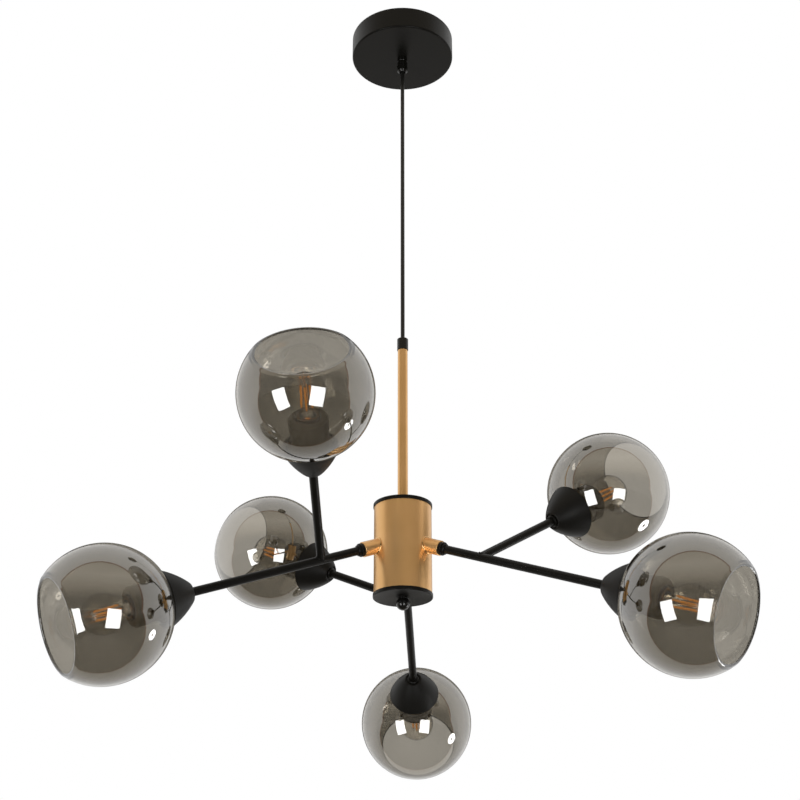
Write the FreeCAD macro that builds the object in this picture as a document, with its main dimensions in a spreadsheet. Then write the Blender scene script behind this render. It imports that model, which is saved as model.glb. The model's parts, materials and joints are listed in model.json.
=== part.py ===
"""A six-light branch chandelier that hangs from a ceiling canopy on one cable.

Sizes are in millimetres and degrees. +Z is up.
The origin is where the middle of the canopy's rim meets the ceiling.
Each arm is a straight rod that slopes down from the hub, with a branch welded on, and carries two lamps.
A lamp is drawn about its glass globe's centre, with +Z out through the globe's mouth.
"""

import FreeCAD, Part
import math
import os
import re

import Sketcher
from FreeCAD import Placement, Rotation, Vector

SIZES = {
    # ceiling bracket and canopy
    "strap_width": 25,
    "strap_thickness": 2,
    "strap_length": 112,
    "strap_drop": 9,
    "web_length": 62,
    "slot_spacing": 88,
    "slot_width": 5.2,
    "slot_length": 14,
    "canopy_diameter": 140,
    "canopy_height": 32,
    "canopy_wall": 1.2,
    "canopy_corner": 2,
    "nipple_diameter": 10,
    "nipple_bore": 6,
    "thread_engagement": 9,
    "nut_across_flats": 14,
    "nut_height": 4,
    "block_length": 18,
    "block_width": 25,
    "block_height": 14,
    "block_pitch": 7.5,
    "block_screw": 4,
    "block_screw_depth": 8.4,
    "block_clearance": 2,
    # cable and what holds its ends
    "cable_diameter": 5.2,
    "cable_length": 420,
    "grip_diameter": 14,
    "grip_length": 24,
    "grip_chamfer": 2.5,
    "grip_screw_diameter": 4,
    "grip_screw_length": 5,
    "grip_socket_depth": 2,
    "grip_screw_height": 10,
    "mouth_depth": 4,
    "mouth_flare": 16,
    "ferrule_diameter": 14,
    "ferrule_length": 16,
    "ferrule_chamfer": 0.8,
    # rod, hub and what ties them together
    "rod_diameter": 12.5,
    "rod_wall": 1.2,
    "rod_length": 209,
    "hub_diameter": 69,
    "hub_wall": 1.5,
    "hub_length": 108,
    "cap_diameter": 71,
    "cap_thickness": 4.5,
    "cap_edge": 1,
    "cap_lip_depth": 4,
    "cap_lip_wall": 2,
    "coupler_across_flats": 17,
    "coupler_length": 24,
    "tie_diameter": 10,
    "tie_bore": 6,
    "finial_diameter": 16,
    "finial_collar_diameter": 12,
    "finial_collar_height": 1.2,
    # arms
    "first_arm_azimuth": 207,
    "arm_height": 68,
    "arm_slope": 21.6,
    "arm_tube_diameter": 10,
    "arm_tube_wall": 1,
    "stub_diameter": 18,
    "stub_reach": 57,
    "spigot_length": 12,
    "seam_radius": 1,
    "collar_wall": 2.95,
    "collar_length": 4,
    "collar_neck_wall": 1.45,
    "collar_neck_length": 3.5,
    "collar_chamfer": 1,
    "main_lamp_reach": 380,
    "branch_start": 113.5,
    "branch_angle": 79.8,
    "branch_roll": 128.4,
    "branch_lamp_reach": 222,
    "twist_a": 5.1,
    "twist_b": 1.2,
    "twist_c": -6.3,
    # lamp, as distances before or behind the globe's centre
    "globe_diameter": 150,
    "globe_wall": 2.5,
    "mouth_distance": 52.5,
    "neck_hole": 42,
    "cup_rim": 65,
    "cup_length": 33.4,
    "cup_end": 21.5,
    "cup_curve": 102,
    "cup_wall": 1.5,
    "cup_corner": 2.5,
    "cup_inner_end": 21.3,
    "recess_diameter": 17.5,
    "recess_depth": 1.5,
    "cup_nut_diameter": 14.8,
    "cup_nut_height": 3,
    "cup_nut_chamfer": 1,
    "tube_in_cup": 5.5,
    "holder_neck_diameter": 18,
    "holder_neck_length": 8,
    "holder_curve": 39.4,
    "holder_skirt_diameter": 39.4,
    "holder_flange": 49,
    "holder_flange_height": 2,
    "holder_front": 31,
    "wire_hole": 5,
    "ring_flange": 51.5,
    "ring_flange_height": 2.4,
    "ring_wall": 1.2,
    "ring_band_diameter": 45,
    "ring_band_length": 16,
    "ring_chamfer": 2.5,
    "bulb_diameter": 45,
    "bulb_centre": 1,
    "bulb_wall": 0.8,
    "bulb_neck_diameter": 27,
    "bulb_neck_length": 2,
    "bulb_shoulder": 11,
    "screw_cap_diameter": 26.5,
    "screw_cap_length": 24,
    "screw_cap_start": 27,
    "contact_diameter": 9,
    "contact_height": 4.5,
    "stem_diameter": 3,
    "stem_collar": 1,
    "filament_diameter": 1.8,
    "filament_length": 32,
    "filament_circle": 11,
    # clearances
    "seat_gap": 0.3,
    "running_gap": 0.05,
    "hole_gap": 0.2,
    "shoulder_gap": 0.1,
    "well_gap": 0.6,
    "lip_gap": 1.8,
}
ARMS = ("a", "b", "c")
LAMPS = ("main", "branch")
FILAMENTS = 4

doc = FreeCAD.newDocument("branch_chandelier")
sheet = doc.addObject("Spreadsheet::Sheet", "sizes")
for row, (name, value) in enumerate(SIZES.items(), 1):
    sheet.set(f"A{row}", name)
    sheet.set(f"B{row}", str(value))
    sheet.setAlias(f"B{row}", name)
doc.recompute()
pieces = []


# --- helpers ---


def bound(expression):
    """The expression with each size's name pointed at its cell on the sheet."""

    def point(word):
        return f"sizes.{word[0]}" if word[0] in SIZES else word[0]

    return re.sub(r"[a-z]\w+", point, expression)


def size(expression):
    """The number that an expression has now."""
    return float(doc.sizes.evalExpression(expression))


def keep(piece, label):
    """Names a finished sub-part, which is then checked and exported."""
    piece.Label = label
    pieces.append(piece)
    return piece


def new_body(name):
    return doc.addObject("PartDesign::Body", name)


def new_sketch(body, plane_role):
    sketch = body.newObject("Sketcher::SketchObject", "outline")
    plane = next(f for f in body.Origin.OriginFeatures if f.Role == plane_role)
    sketch.AttachmentSupport = [(plane, "")]
    sketch.MapMode = "FlatFace"
    return sketch


def arc_between(start, end, radius):
    """An arc of up to a half turn that bulges right of the way, or left if the radius is negative."""
    chord = end - start
    left = Vector(-chord.y, chord.x, 0).normalize()
    to_centre = math.sqrt(radius**2 - (chord.Length / 2) ** 2)
    centre = (start + end) / 2 + left * math.copysign(to_centre, radius)
    first, last = (start, end) if radius > 0 else (end, start)
    angles = [math.atan2(p.y - centre.y, p.x - centre.x) for p in (first, last)]
    circle = Part.Circle(centre, Vector(0, 0, 1), abs(radius))
    return Part.ArcOfCircle(circle, angles[0], angles[1])


def fix_corner(sketch, edge, end, across, up):
    """Ties one end of an edge to its place on the sheet."""
    for kind, axis, expression in (("DistanceX", -2, across), ("DistanceY", -1, up)):
        if expression == "0":
            sketch.addConstraint(Sketcher.Constraint("PointOnObject", edge, end, axis))
            continue
        place = Sketcher.Constraint(kind, -1, 1, edge, end, size(expression))
        index = sketch.addConstraint(place)
        sketch.setExpression(f"Constraints[{index}]", bound(expression))


def draw(sketch, corners):
    """Draws a closed outline. A corner has two expressions, and a third where an arc leads to the next."""
    points = [Vector(size(c[0]), size(c[1]), 0) for c in corners]
    ends = []
    for start, end, corner in zip(points, points[1:] + points[:1], corners):
        if len(corner) == 2:
            sketch.addGeometry(Part.LineSegment(start, end))
            ends.append((1, 2))
            continue
        radius = size(corner[2])
        edge = sketch.addGeometry(arc_between(start, end, radius))
        ends.append((1, 2) if radius > 0 else (2, 1))
        index = sketch.addConstraint(Sketcher.Constraint("Radius", edge, abs(radius)))
        sketch.setExpression(f"Constraints[{index}]", bound(f"abs({corner[2]})"))
    for edge, corner in enumerate(corners):
        before = edge - 1 if edge else len(corners) - 1
        joint = Sketcher.Constraint("Coincident", before, ends[before][1], edge, ends[edge][0])
        sketch.addConstraint(joint)
        fix_corner(sketch, edge, ends[edge][0], corner[0], corner[1])


def turned(name, corners):
    """A body turned about Z from an outline of radius and height."""
    body = new_body(name)
    sketch = new_sketch(body, "XZ_Plane")
    draw(sketch, corners)
    turn = body.newObject("PartDesign::Revolution", "turn")
    turn.Profile = sketch
    turn.ReferenceAxis = (sketch, ["V_Axis"])
    turn.Angle = 360
    sketch.Visibility = False
    doc.recompute()
    return body


def cylinder(body, kind, radius, length, place):
    """Adds or cuts a cylinder that stands on the given place."""
    piece = body.newObject(f"PartDesign::{kind}Cylinder", kind.lower())
    piece.setExpression("Radius", bound(radius))
    piece.setExpression("Height", bound(length))
    piece.Placement = place
    doc.recompute()
    return piece


def hexagon(body, across_flats, height, bore, base="0"):
    """Pads a hexagonal nut, with its hole, upwards from the base height."""
    sketch = new_sketch(body, "XY_Plane")
    sketch.AttachmentOffset = Placement(Vector(0, 0, size(base)), Rotation())
    corner, half = f"{across_flats} / sqrt(3)", f"{across_flats} / sqrt(3) / 2"
    flat = f"{across_flats} / 2"
    draw(
        sketch,
        [
            (corner, "0"),
            (half, flat),
            (f"-{half}", flat),
            (f"-{corner}", "0"),
            (f"-{half}", f"-{flat}"),
            (half, f"-{flat}"),
        ],
    )
    pad = body.newObject("PartDesign::Pad", "hexagon")
    pad.Profile = sketch
    pad.setExpression("Length", bound(height))
    sketch.Visibility = False
    doc.recompute()
    cylinder(body, "Subtractive", bore, height, Placement(Vector(0, 0, size(base)), Rotation()))
    return pad


def edges_of(feature, wanted):
    """The names of the edges for which wanted(edge) is true."""
    return [f"Edge{i}" for i, edge in enumerate(feature.Shape.Edges, 1) if wanted(edge)]


def is_circle(edge, radius, height):
    """Whether an edge is a full circle of that radius at that height in its body."""
    if not isinstance(edge.Curve, Part.Circle) or len(edge.Vertexes) > 1:
        return False
    return abs(edge.Curve.Radius - radius) < 1e-4 and abs(edge.Curve.Center.z - height) < 1e-4


def soften(body, kind, radius, wanted):
    """Rounds or bevels the edges of a body's last feature for which wanted(edge) is true."""
    last = body.Tip
    feature = body.newObject(f"PartDesign::{kind}", kind.lower())
    feature.Base = (last, edges_of(last, wanted))
    feature.setExpression("Radius" if kind == "Fillet" else "Size", bound(radius))
    doc.recompute()
    return feature


def at_height(body, expression):
    """Lifts a body so that its own zero is at a height below the ceiling."""
    body.setExpression("Placement.Base.z", bound(expression))
    return body


# --- heights below the ceiling, worked out from the sizes ---

GRIP_END = "-canopy_height - grip_length"
CABLE_TOP = f"{GRIP_END} + mouth_depth"
FERRULE_TOP = f"{GRIP_END} - cable_length"
CABLE_FOOT = f"{FERRULE_TOP} - mouth_depth"
ROD_TOP = f"{FERRULE_TOP} - ferrule_length"
HUB_TOP = f"{ROD_TOP} - rod_length"
SHELL_FOOT = f"{HUB_TOP} - cap_thickness - hub_length"
ARM_LINE = f"{SHELL_FOOT} + arm_height"


# --- ceiling bracket and canopy ---


def ceiling_bracket():
    """A strap with its ends on the ceiling and a web joggled down, with two slots and a tapped hole."""
    body = new_body("ceiling_bracket")
    sketch = new_sketch(body, "XZ_Plane")
    tip, web = "strap_length / 2", "web_length / 2"
    bend = f"{web} + strap_drop / 2"
    low, deep = "-strap_thickness", "-strap_drop - strap_thickness"
    right = [
        (web, deep),
        (bend, low),
        (tip, low),
        (tip, "0"),
        (f"{bend} - strap_thickness / 2", "0"),
        (f"{web} - strap_thickness / 2", "-strap_drop"),
    ]
    left = [(f"-({across})", up) for across, up in reversed(right)]
    draw(sketch, right + left)
    pad = body.newObject("PartDesign::Pad", "strap")
    pad.Profile = sketch
    pad.Midplane = True
    pad.setExpression("Length", bound("strap_width"))
    doc.recompute()
    for side in ("", "-"):
        slot = new_sketch(body, "XY_Plane")
        middle = f"{side}slot_spacing / 2"
        straight, half = "(slot_length - slot_width) / 2", "slot_width / 2"
        draw(
            slot,
            [
                (f"{middle} + {straight}", f"-{half}", half),
                (f"{middle} + slot_length / 2", "0", half),
                (f"{middle} + {straight}", half),
                (f"{middle} - {straight}", half, half),
                (f"{middle} - slot_length / 2", "0", half),
                (f"{middle} - {straight}", f"-{half}"),
            ],
        )
        pocket = body.newObject("PartDesign::Pocket", "slot")
        pocket.Profile = slot
        pocket.Type = "ThroughAll"
        pocket.Midplane = True
        doc.recompute()
    foot = Placement(Vector(0, 0, size("-strap_drop - strap_thickness")), Rotation())
    cylinder(body, "Subtractive", "nipple_diameter / 2 + running_gap", "strap_thickness", foot)
    return body


def canopy():
    """A spun cup, open at the ceiling, with a hole for the nipple in its floor."""
    outer, hole = "canopy_diameter / 2", "nipple_diameter / 2 + hole_gap"
    body = turned(
        "canopy",
        [
            (hole, "-canopy_height"),
            (outer, "-canopy_height"),
            (outer, "0"),
            (f"{outer} - canopy_wall", "0"),
            (f"{outer} - canopy_wall", "-canopy_height + canopy_wall"),
            (hole, "-canopy_height + canopy_wall"),
        ],
    )
    radius, height = size(outer), -size("canopy_height")
    soften(body, "Fillet", "canopy_corner", lambda edge: is_circle(edge, radius, height))
    inside, floor = size(f"{outer} - canopy_wall"), size("-canopy_height + canopy_wall")
    inner_corner = "canopy_corner - canopy_wall"
    soften(body, "Fillet", inner_corner, lambda edge: is_circle(edge, inside, floor))
    return body


def canopy_nipple():
    """The threaded tube that joins the bracket, the canopy's floor and the cord grip."""
    top = "-strap_drop + nut_height + seat_gap"
    foot = "-canopy_height - thread_engagement"
    wall, bore = "nipple_diameter / 2", "nipple_bore / 2"
    return turned("canopy_nipple", [(bore, foot), (wall, foot), (wall, top), (bore, top)])


def nipple_nuts():
    """Three nuts on the nipple: above and below the bracket's web, and on the canopy's floor."""
    seats = (
        "-strap_drop",
        "-strap_drop - strap_thickness - nut_height",
        "-canopy_height + canopy_wall",
    )
    nuts = []
    for index, seat in enumerate(seats):
        nut = new_body(f"nipple_nut_{index}")
        hexagon(nut, "nut_across_flats", "nut_height", "nipple_diameter / 2 + running_gap")
        nuts.append(at_height(nut, seat))
    return group("nipple_nuts", nuts)


def terminal_block(name, base, seat, groove):
    """A three-way connector block with its screw wells and, if given a groove, a round seat in its back."""
    body = new_body(name)
    sketch = new_sketch(body, "XY_Plane")
    near, far = base, f"{base} + block_length"
    draw(
        sketch,
        [
            (near, "-block_width / 2"),
            (far, "-block_width / 2"),
            (far, "block_width / 2"),
            (near, "block_width / 2"),
        ],
    )
    pad = body.newObject("PartDesign::Pad", "block")
    pad.Profile = sketch
    pad.setExpression("Length", bound("block_height"))
    doc.recompute()
    across = size(f"{base} + block_length / 2")
    for step in (-1, 0, 1):
        well = Placement(Vector(across, step * size("block_pitch"), 0), Rotation())
        cylinder(body, "Subtractive", "block_screw / 2", "block_screw_depth", well)
    if groove:
        cylinder(body, "Subtractive", groove, "block_height", Placement())
    return at_height(body, seat)


# --- cable and its ends ---


CABLE_HOLE = "cable_diameter / 2 + seat_gap"
MOUTH = f"{CABLE_HOLE} + mouth_depth * tan(mouth_flare * 1 deg)"


def cord_grip():
    """The sleeve under the canopy that clamps the cable with a side screw, drawn up from its mouth."""
    outer, socket = "grip_diameter / 2", "nipple_diameter / 2 + running_gap"
    socket_floor = "grip_length - thread_engagement - seat_gap"
    body = turned(
        "cord_grip",
        [
            (MOUTH, "0"),
            (f"{outer} - grip_chamfer", "0"),
            (outer, "grip_chamfer"),
            (outer, "grip_length"),
            (socket, "grip_length"),
            (socket, socket_floor),
            (CABLE_HOLE, socket_floor),
            (CABLE_HOLE, "mouth_depth"),
        ],
    )
    height = Vector(0, 0, size("grip_screw_height"))
    hole = Placement(height, Rotation(Vector(0, 1, 0), -90))
    cylinder(body, "Subtractive", "grip_screw_diameter / 2 + running_gap", "grip_diameter", hole)
    return at_height(body, GRIP_END)


def grip_screw():
    """The set screw in the cord grip's side, with its hexagon socket."""
    body = new_body("grip_screw")
    start = "cable_diameter / 2 + seat_gap / 2"
    base = Placement(Vector(0, 0, size(start)), Rotation())
    cylinder(body, "Additive", "grip_screw_diameter / 2", "grip_screw_length", base)
    floor = size(f"{start} + grip_screw_length - grip_socket_depth")
    socket = Placement(Vector(0, 0, floor), Rotation())
    cylinder(body, "Subtractive", "grip_screw_diameter / 4", "grip_screw_length", socket)
    height = size(f"{GRIP_END} + grip_screw_height")
    body.Placement = Placement(Vector(0, 0, height), Rotation(Vector(0, 1, 0), -90))
    return body


def cable_tail():
    """The end of the cable that the grip clamps, up inside the nipple."""
    wall = "cable_diameter / 2"
    foot = f"{CABLE_TOP} + cable_diameter / 2 + seat_gap"
    top = "-canopy_height + canopy_wall + nut_height"
    return turned("cable_tail", [("0", foot), (wall, foot), (wall, top), ("0", top)])


def cable():
    """The cable between its two bending points, round at both ends."""
    wall = "cable_diameter / 2"
    body = turned(
        "cable",
        [
            ("0", f"{CABLE_FOOT} - {wall}", wall),
            (wall, CABLE_FOOT),
            (wall, CABLE_TOP, wall),
            ("0", f"{CABLE_TOP} + {wall}"),
        ],
    )
    real = math.pi * size(wall) ** 2 * size(f"{CABLE_TOP} - ({CABLE_FOOT}) + 4 / 3 * {wall}")
    print(f"cable: volume {body.Shape.Volume:.0f} mm3, section times length {real:.0f} mm3")
    return body


def ferrule():
    """The black sleeve where the cable enters the rod: its mouth looks up and its spigot sits in the rod."""
    outer, spigot = "ferrule_diameter / 2", "rod_diameter / 2 - rod_wall - running_gap"
    spigot_foot, shoulder = f"{ROD_TOP} - thread_engagement", f"{ROD_TOP} + shoulder_gap"
    return turned(
        "ferrule",
        [
            (CABLE_HOLE, spigot_foot),
            (spigot, spigot_foot),
            (spigot, shoulder),
            (outer, shoulder),
            (outer, f"{FERRULE_TOP} - ferrule_chamfer"),
            (f"{outer} - ferrule_chamfer", FERRULE_TOP),
            (MOUTH, FERRULE_TOP),
            (CABLE_HOLE, CABLE_FOOT),
        ],
    )


# --- rod and hub ---


def tube(name, outer, inner, foot, top):
    """An upright tube between two heights."""
    return turned(name, [(inner, foot), (outer, foot), (outer, top), (inner, top)])


def down_rod():
    """The brass-coloured tube from the ferrule into the hub, where the coupler holds it."""
    foot = f"{HUB_TOP} - cap_thickness - coupler_length / 2"
    outer = "rod_diameter / 2"
    return tube("down_rod", outer, f"{outer} - rod_wall", foot, ROD_TOP)


def coupler_nut():
    """The long nut inside the hub that joins the rod above to the tie rod below."""
    body = new_body("coupler_nut")
    hexagon(body, "coupler_across_flats", "coupler_length", "tie_diameter / 2 + running_gap")
    upper = Placement(Vector(0, 0, size("coupler_length / 2 - seat_gap")), Rotation())
    cylinder(body, "Subtractive", "rod_diameter / 2 + running_gap", "coupler_length", upper)
    return at_height(body, f"{HUB_TOP} - cap_thickness - coupler_length")


def tie_rod():
    """The threaded tube down the middle of the hub that the finial screws on to."""
    foot = f"{SHELL_FOOT} - cap_thickness - finial_diameter / 2"
    top = f"{HUB_TOP} - cap_thickness - coupler_length / 2 - 2 * seat_gap"
    return tube("tie_rod", "tie_diameter / 2", "tie_bore / 2", foot, top)


def hub_cap(name, hole, seat, turned_over):
    """A disc with a softened edge and a lip that locates it in the hub; drawn as the lower one."""
    outer, lip = "cap_diameter / 2", "hub_diameter / 2 - hub_wall - hole_gap"
    body = turned(
        name,
        [
            (hole, "-cap_thickness"),
            (outer, "-cap_thickness"),
            (outer, "0"),
            (lip, "0"),
            (lip, "cap_lip_depth"),
            (f"{lip} - cap_lip_wall", "cap_lip_depth"),
            (f"{lip} - cap_lip_wall", "0"),
            (hole, "0"),
        ],
    )
    radius, height = size(outer), -size("cap_thickness")
    soften(body, "Fillet", "cap_edge", lambda edge: is_circle(edge, radius, height))
    if turned_over:
        body.Placement = Placement(Vector(), Rotation(Vector(1, 0, 0), 180))
    return at_height(body, seat)


TUBE_HOLE = "arm_tube_diameter / 2 + running_gap"


def stub_place():
    """The first arm's line in the hub shell's frame, from the axis with +Z outwards."""
    slope = Rotation(Vector(0, 1, 0), 90 + size("arm_slope"))
    line = Rotation(Vector(0, 0, 1), size("first_arm_azimuth")) * slope
    return Placement(Vector(0, 0, size("arm_height")), line)


def once_per_arm(body, feature):
    """Repeats a feature evenly round the hub's axis."""
    pattern = body.newObject("PartDesign::PolarPattern", "once_per_arm")
    pattern.Originals = [feature]
    axis = next(f for f in body.Origin.OriginFeatures if f.Role == "Z_Axis")
    pattern.Axis = (axis, [""])
    pattern.Angle = 360
    pattern.Occurrences = len(ARMS)
    body.Tip = pattern
    doc.recompute()


def hub_shell():
    """A tube with bored stubs brazed on that slope down."""
    body, along_arm = new_body("hub_shell"), stub_place()
    cylinder(body, "Additive", "hub_diameter / 2", "hub_length", Placement())
    stub = cylinder(body, "Additive", "stub_diameter / 2", "stub_reach", along_arm)
    once_per_arm(body, stub)
    wall = size("hub_diameter / 2")

    def is_seam(edge):
        spots = edge.discretize(6)
        heights = [spot.z for spot in spots]
        on_wall = all(abs(math.hypot(spot.x, spot.y) - wall) < 0.01 for spot in spots)
        curved = not isinstance(edge.Curve, (Part.Line, Part.Circle))
        return curved and on_wall and max(heights) - min(heights) > 1

    soften(body, "Fillet", "seam_radius", is_seam)
    bore = cylinder(body, "Subtractive", TUBE_HOLE, "stub_reach", along_arm)
    once_per_arm(body, bore)
    cylinder(body, "Subtractive", "hub_diameter / 2 - hub_wall", "hub_length", Placement())
    return at_height(body, SHELL_FOOT)


def finial():
    """The ball that screws on to the tie rod and holds the lower cap."""
    ball, collar = "finial_diameter / 2", "finial_collar_diameter / 2"
    hole, hole_top = "tie_diameter / 2 + running_gap", "-finial_diameter / 2 - seat_gap"
    flat = f"sqrt(({ball})^2 - ({collar})^2)"
    middle = f"-finial_collar_height - {flat}"
    body = turned(
        "finial",
        [
            ("0", f"{middle} - {ball}", ball),
            (ball, middle, ball),
            (collar, "-finial_collar_height"),
            (collar, "0"),
            (hole, "0"),
            (hole, hole_top),
            ("0", hole_top),
        ],
    )
    return at_height(body, f"{SHELL_FOOT} - cap_thickness")


# --- arms ---


def arm_place(arm):
    """An arm's frame: on the hub's axis, +Z outwards along the main rod, turned by the arm's own twist."""
    turn = size("first_arm_azimuth") + 360 * ARMS.index(arm) / len(ARMS)
    azimuth = Rotation(Vector(0, 0, 1), turn)
    slope = Rotation(Vector(0, 1, 0), 90 + size("arm_slope"))
    twist = Rotation(Vector(0, 0, 1), size(f"twist_{arm}"))
    return Placement(Vector(0, 0, size(ARM_LINE)), azimuth * slope * twist)


def branch_place(along):
    """In an arm's frame, a place along the branch from the main rod's axis, with +Z along the branch."""
    roll = Rotation(Vector(0, 0, 1), size("branch_roll"))
    lean = Rotation(Vector(0, 1, 0), size("branch_angle"))
    start = Placement(Vector(0, 0, size("branch_start")), roll * lean)
    return start * Placement(Vector(0, 0, along), Rotation())


def lamp_place(arm, lamp):
    """A lamp's frame: at the globe's centre, +Z out through the mouth."""
    if lamp == "main":
        return arm_place(arm) * Placement(Vector(0, 0, size("main_lamp_reach")), Rotation())
    return arm_place(arm) * branch_place(size("branch_lamp_reach"))


TUBE_END = "-sqrt((globe_diameter / 2)^2 - (cup_rim / 2)^2) - cup_length + tube_in_cup"


def arm_tubes(arm):
    """The main tube with its branch welded on, both bored for the wires."""
    body = new_body(f"arm_{arm}")
    inner_end = "stub_reach - spigot_length"
    outer, bore = "arm_tube_diameter / 2", "arm_tube_diameter / 2 - arm_tube_wall"
    start = Placement(Vector(0, 0, size(inner_end)), Rotation())
    main_length = f"main_lamp_reach + ({TUBE_END}) - ({inner_end})"
    branch_length = f"branch_lamp_reach + ({TUBE_END})"
    cylinder(body, "Additive", outer, main_length, start)
    cylinder(body, "Additive", outer, branch_length, branch_place(0))
    cylinder(body, "Subtractive", bore, main_length, start)
    cylinder(body, "Subtractive", bore, branch_length, branch_place(0))
    body.Placement = arm_place(arm)
    return body


def lock_collar(arm):
    """The ring that locks an arm against its stub."""
    ring, neck = f"{TUBE_HOLE} + collar_wall", f"{TUBE_HOLE} + collar_neck_wall"
    seat = "stub_reach + hole_gap"
    step = f"{seat} + collar_length"
    end = f"{step} + collar_neck_length"
    body = turned(
        f"lock_collar_{arm}",
        [
            (TUBE_HOLE, seat),
            (ring, seat),
            (ring, step),
            (neck, step),
            (neck, f"{end} - collar_chamfer"),
            (f"{neck} - collar_chamfer", end),
            (TUBE_HOLE, end),
        ],
    )
    body.Placement = arm_place(arm)
    return body


# --- lamps, each drawn about its globe's centre ---

RIM_PLACE = "-sqrt((globe_diameter / 2)^2 - (cup_rim / 2)^2) - seat_gap"
INNER_RIM_PLACE = "-sqrt((globe_diameter / 2)^2 - (cup_rim / 2 - cup_wall)^2) - seat_gap"
CUP_FOOT = f"{RIM_PLACE} - cup_length"
CUP_FLOOR = f"{CUP_FOOT} + recess_depth + cup_wall"
HOLDER_SEAT = "-sqrt((globe_diameter / 2)^2 - (neck_hole / 2)^2) - seat_gap"


def cup(name, place):
    """The bell that covers the lampholder, with a recess for the nut where the tube enters."""
    end = "cup_end / 2"
    body = turned(
        name,
        [
            (TUBE_HOLE, f"{CUP_FOOT} + recess_depth"),
            ("recess_diameter / 2", f"{CUP_FOOT} + recess_depth"),
            ("recess_diameter / 2", CUP_FOOT),
            (end, CUP_FOOT, "cup_curve"),
            ("cup_rim / 2", RIM_PLACE),
            ("cup_rim / 2 - cup_wall", INNER_RIM_PLACE, "-cup_curve"),
            ("cup_inner_end / 2", CUP_FLOOR),
            (TUBE_HOLE, CUP_FLOOR),
        ],
    )
    radius, height = size(end), size(CUP_FOOT)
    corner = "min(cup_corner; (cup_end - recess_diameter) / 2 - seat_gap)"
    soften(body, "Fillet", corner, lambda edge: is_circle(edge, radius, height))
    body.Placement = place
    return body


def cup_nut(name, place):
    """The round nut on the tube, in the cup's recess."""
    rim, seat = "cup_nut_diameter / 2", f"{CUP_FOOT} + recess_depth"
    end = f"{seat} - cup_nut_height"
    body = turned(
        name,
        [
            (TUBE_HOLE, end),
            (f"{rim} - cup_nut_chamfer", end),
            (rim, f"{end} + cup_nut_chamfer"),
            (rim, seat),
            (TUBE_HOLE, seat),
        ],
    )
    body.Placement = place
    return body


def lampholder(name, place):
    """The screw lampholder: a neck on the tube, a domed cap, a flange behind the glass and a skirt."""
    neck, skirt, flange = "holder_neck_diameter / 2", "holder_skirt_diameter / 2", "holder_flange / 2"
    well, wires = "screw_cap_diameter / 2 + well_gap", "wire_hole / 2"
    well_floor = "-(screw_cap_start + screw_cap_length + 2 * contact_height)"
    neck_top = f"{CUP_FLOOR} + holder_neck_length"
    flange_back = f"{HOLDER_SEAT} - holder_flange_height"
    shoulder = f"{flange_back} - holder_flange_height"
    tube_seat = f"{TUBE_END} + seat_gap"
    body = turned(
        name,
        [
            (TUBE_HOLE, CUP_FLOOR),
            (neck, CUP_FLOOR),
            (neck, neck_top, "holder_curve"),
            (skirt, shoulder),
            (skirt, flange_back),
            (flange, flange_back),
            (flange, HOLDER_SEAT),
            (skirt, HOLDER_SEAT),
            (skirt, "-holder_front"),
            (well, "-holder_front"),
            (well, well_floor),
            (wires, well_floor),
            (wires, tube_seat),
            (TUBE_HOLE, tube_seat),
        ],
    )
    body.Placement = place
    return body


def shade_ring(name, place):
    """The ring on the lampholder's skirt that clamps the glass: a flange, a sleeve and a bevelled band."""
    bore = "holder_skirt_diameter / 2 + seat_gap"
    sleeve, band, flange = f"{bore} + ring_wall", "ring_band_diameter / 2", "ring_flange / 2"
    foot = "-sqrt((globe_diameter / 2 - globe_wall)^2 - (ring_flange / 2)^2) + seat_gap"
    front = "-holder_front + seat_gap + ring_wall"
    lip = "screw_cap_diameter / 2 + lip_gap"
    body = turned(
        name,
        [
            (bore, foot),
            (flange, foot),
            (flange, f"{foot} + ring_flange_height"),
            (sleeve, f"{foot} + ring_flange_height"),
            (sleeve, f"{front} - ring_band_length"),
            (band, f"{front} - ring_band_length"),
            (band, f"{front} - ring_chamfer"),
            (f"{band} - ring_chamfer", front),
            (lip, front),
            (lip, f"{front} - ring_wall"),
            (bore, f"{front} - ring_wall"),
        ],
    )
    body.Placement = place
    return body


def globe(name, place):
    """The blown glass globe, cut off flat at its mouth and holed at its neck."""
    outer, inner = "globe_diameter / 2", "(globe_diameter / 2 - globe_wall)"
    neck = "neck_hole / 2"
    body = turned(
        name,
        [
            (neck, f"-sqrt(({outer})^2 - ({neck})^2)", outer),
            (f"sqrt(({outer})^2 - mouth_distance^2)", "mouth_distance"),
            (f"sqrt({inner}^2 - mouth_distance^2)", "mouth_distance", f"-{inner}"),
            (neck, f"-sqrt({inner}^2 - ({neck})^2)"),
        ],
    )
    body.Placement = place
    return body


def bulb_glass(name, place):
    """The bulb's envelope: most of a ball, drawn in to a neck that the screw cap holds."""
    outer, inner = "bulb_diameter / 2", "(bulb_diameter / 2 - bulb_wall)"
    neck, foot = "bulb_neck_diameter / 2", "-screw_cap_start"
    low = "bulb_centre - bulb_shoulder"
    body = turned(
        name,
        [
            (f"{neck} - bulb_wall", foot),
            (neck, foot),
            (neck, f"{foot} + bulb_neck_length"),
            (f"sqrt(({outer})^2 - bulb_shoulder^2)", low, outer),
            (outer, "bulb_centre", outer),
            ("0", f"bulb_centre + {outer}"),
            ("0", f"bulb_centre + {inner}", f"-{inner}"),
            (inner, "bulb_centre", f"-{inner}"),
            (f"sqrt({inner}^2 - bulb_shoulder^2)", low),
            (f"{neck} - bulb_wall", f"{foot} + bulb_neck_length"),
        ],
    )
    body.Placement = place
    return body


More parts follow.
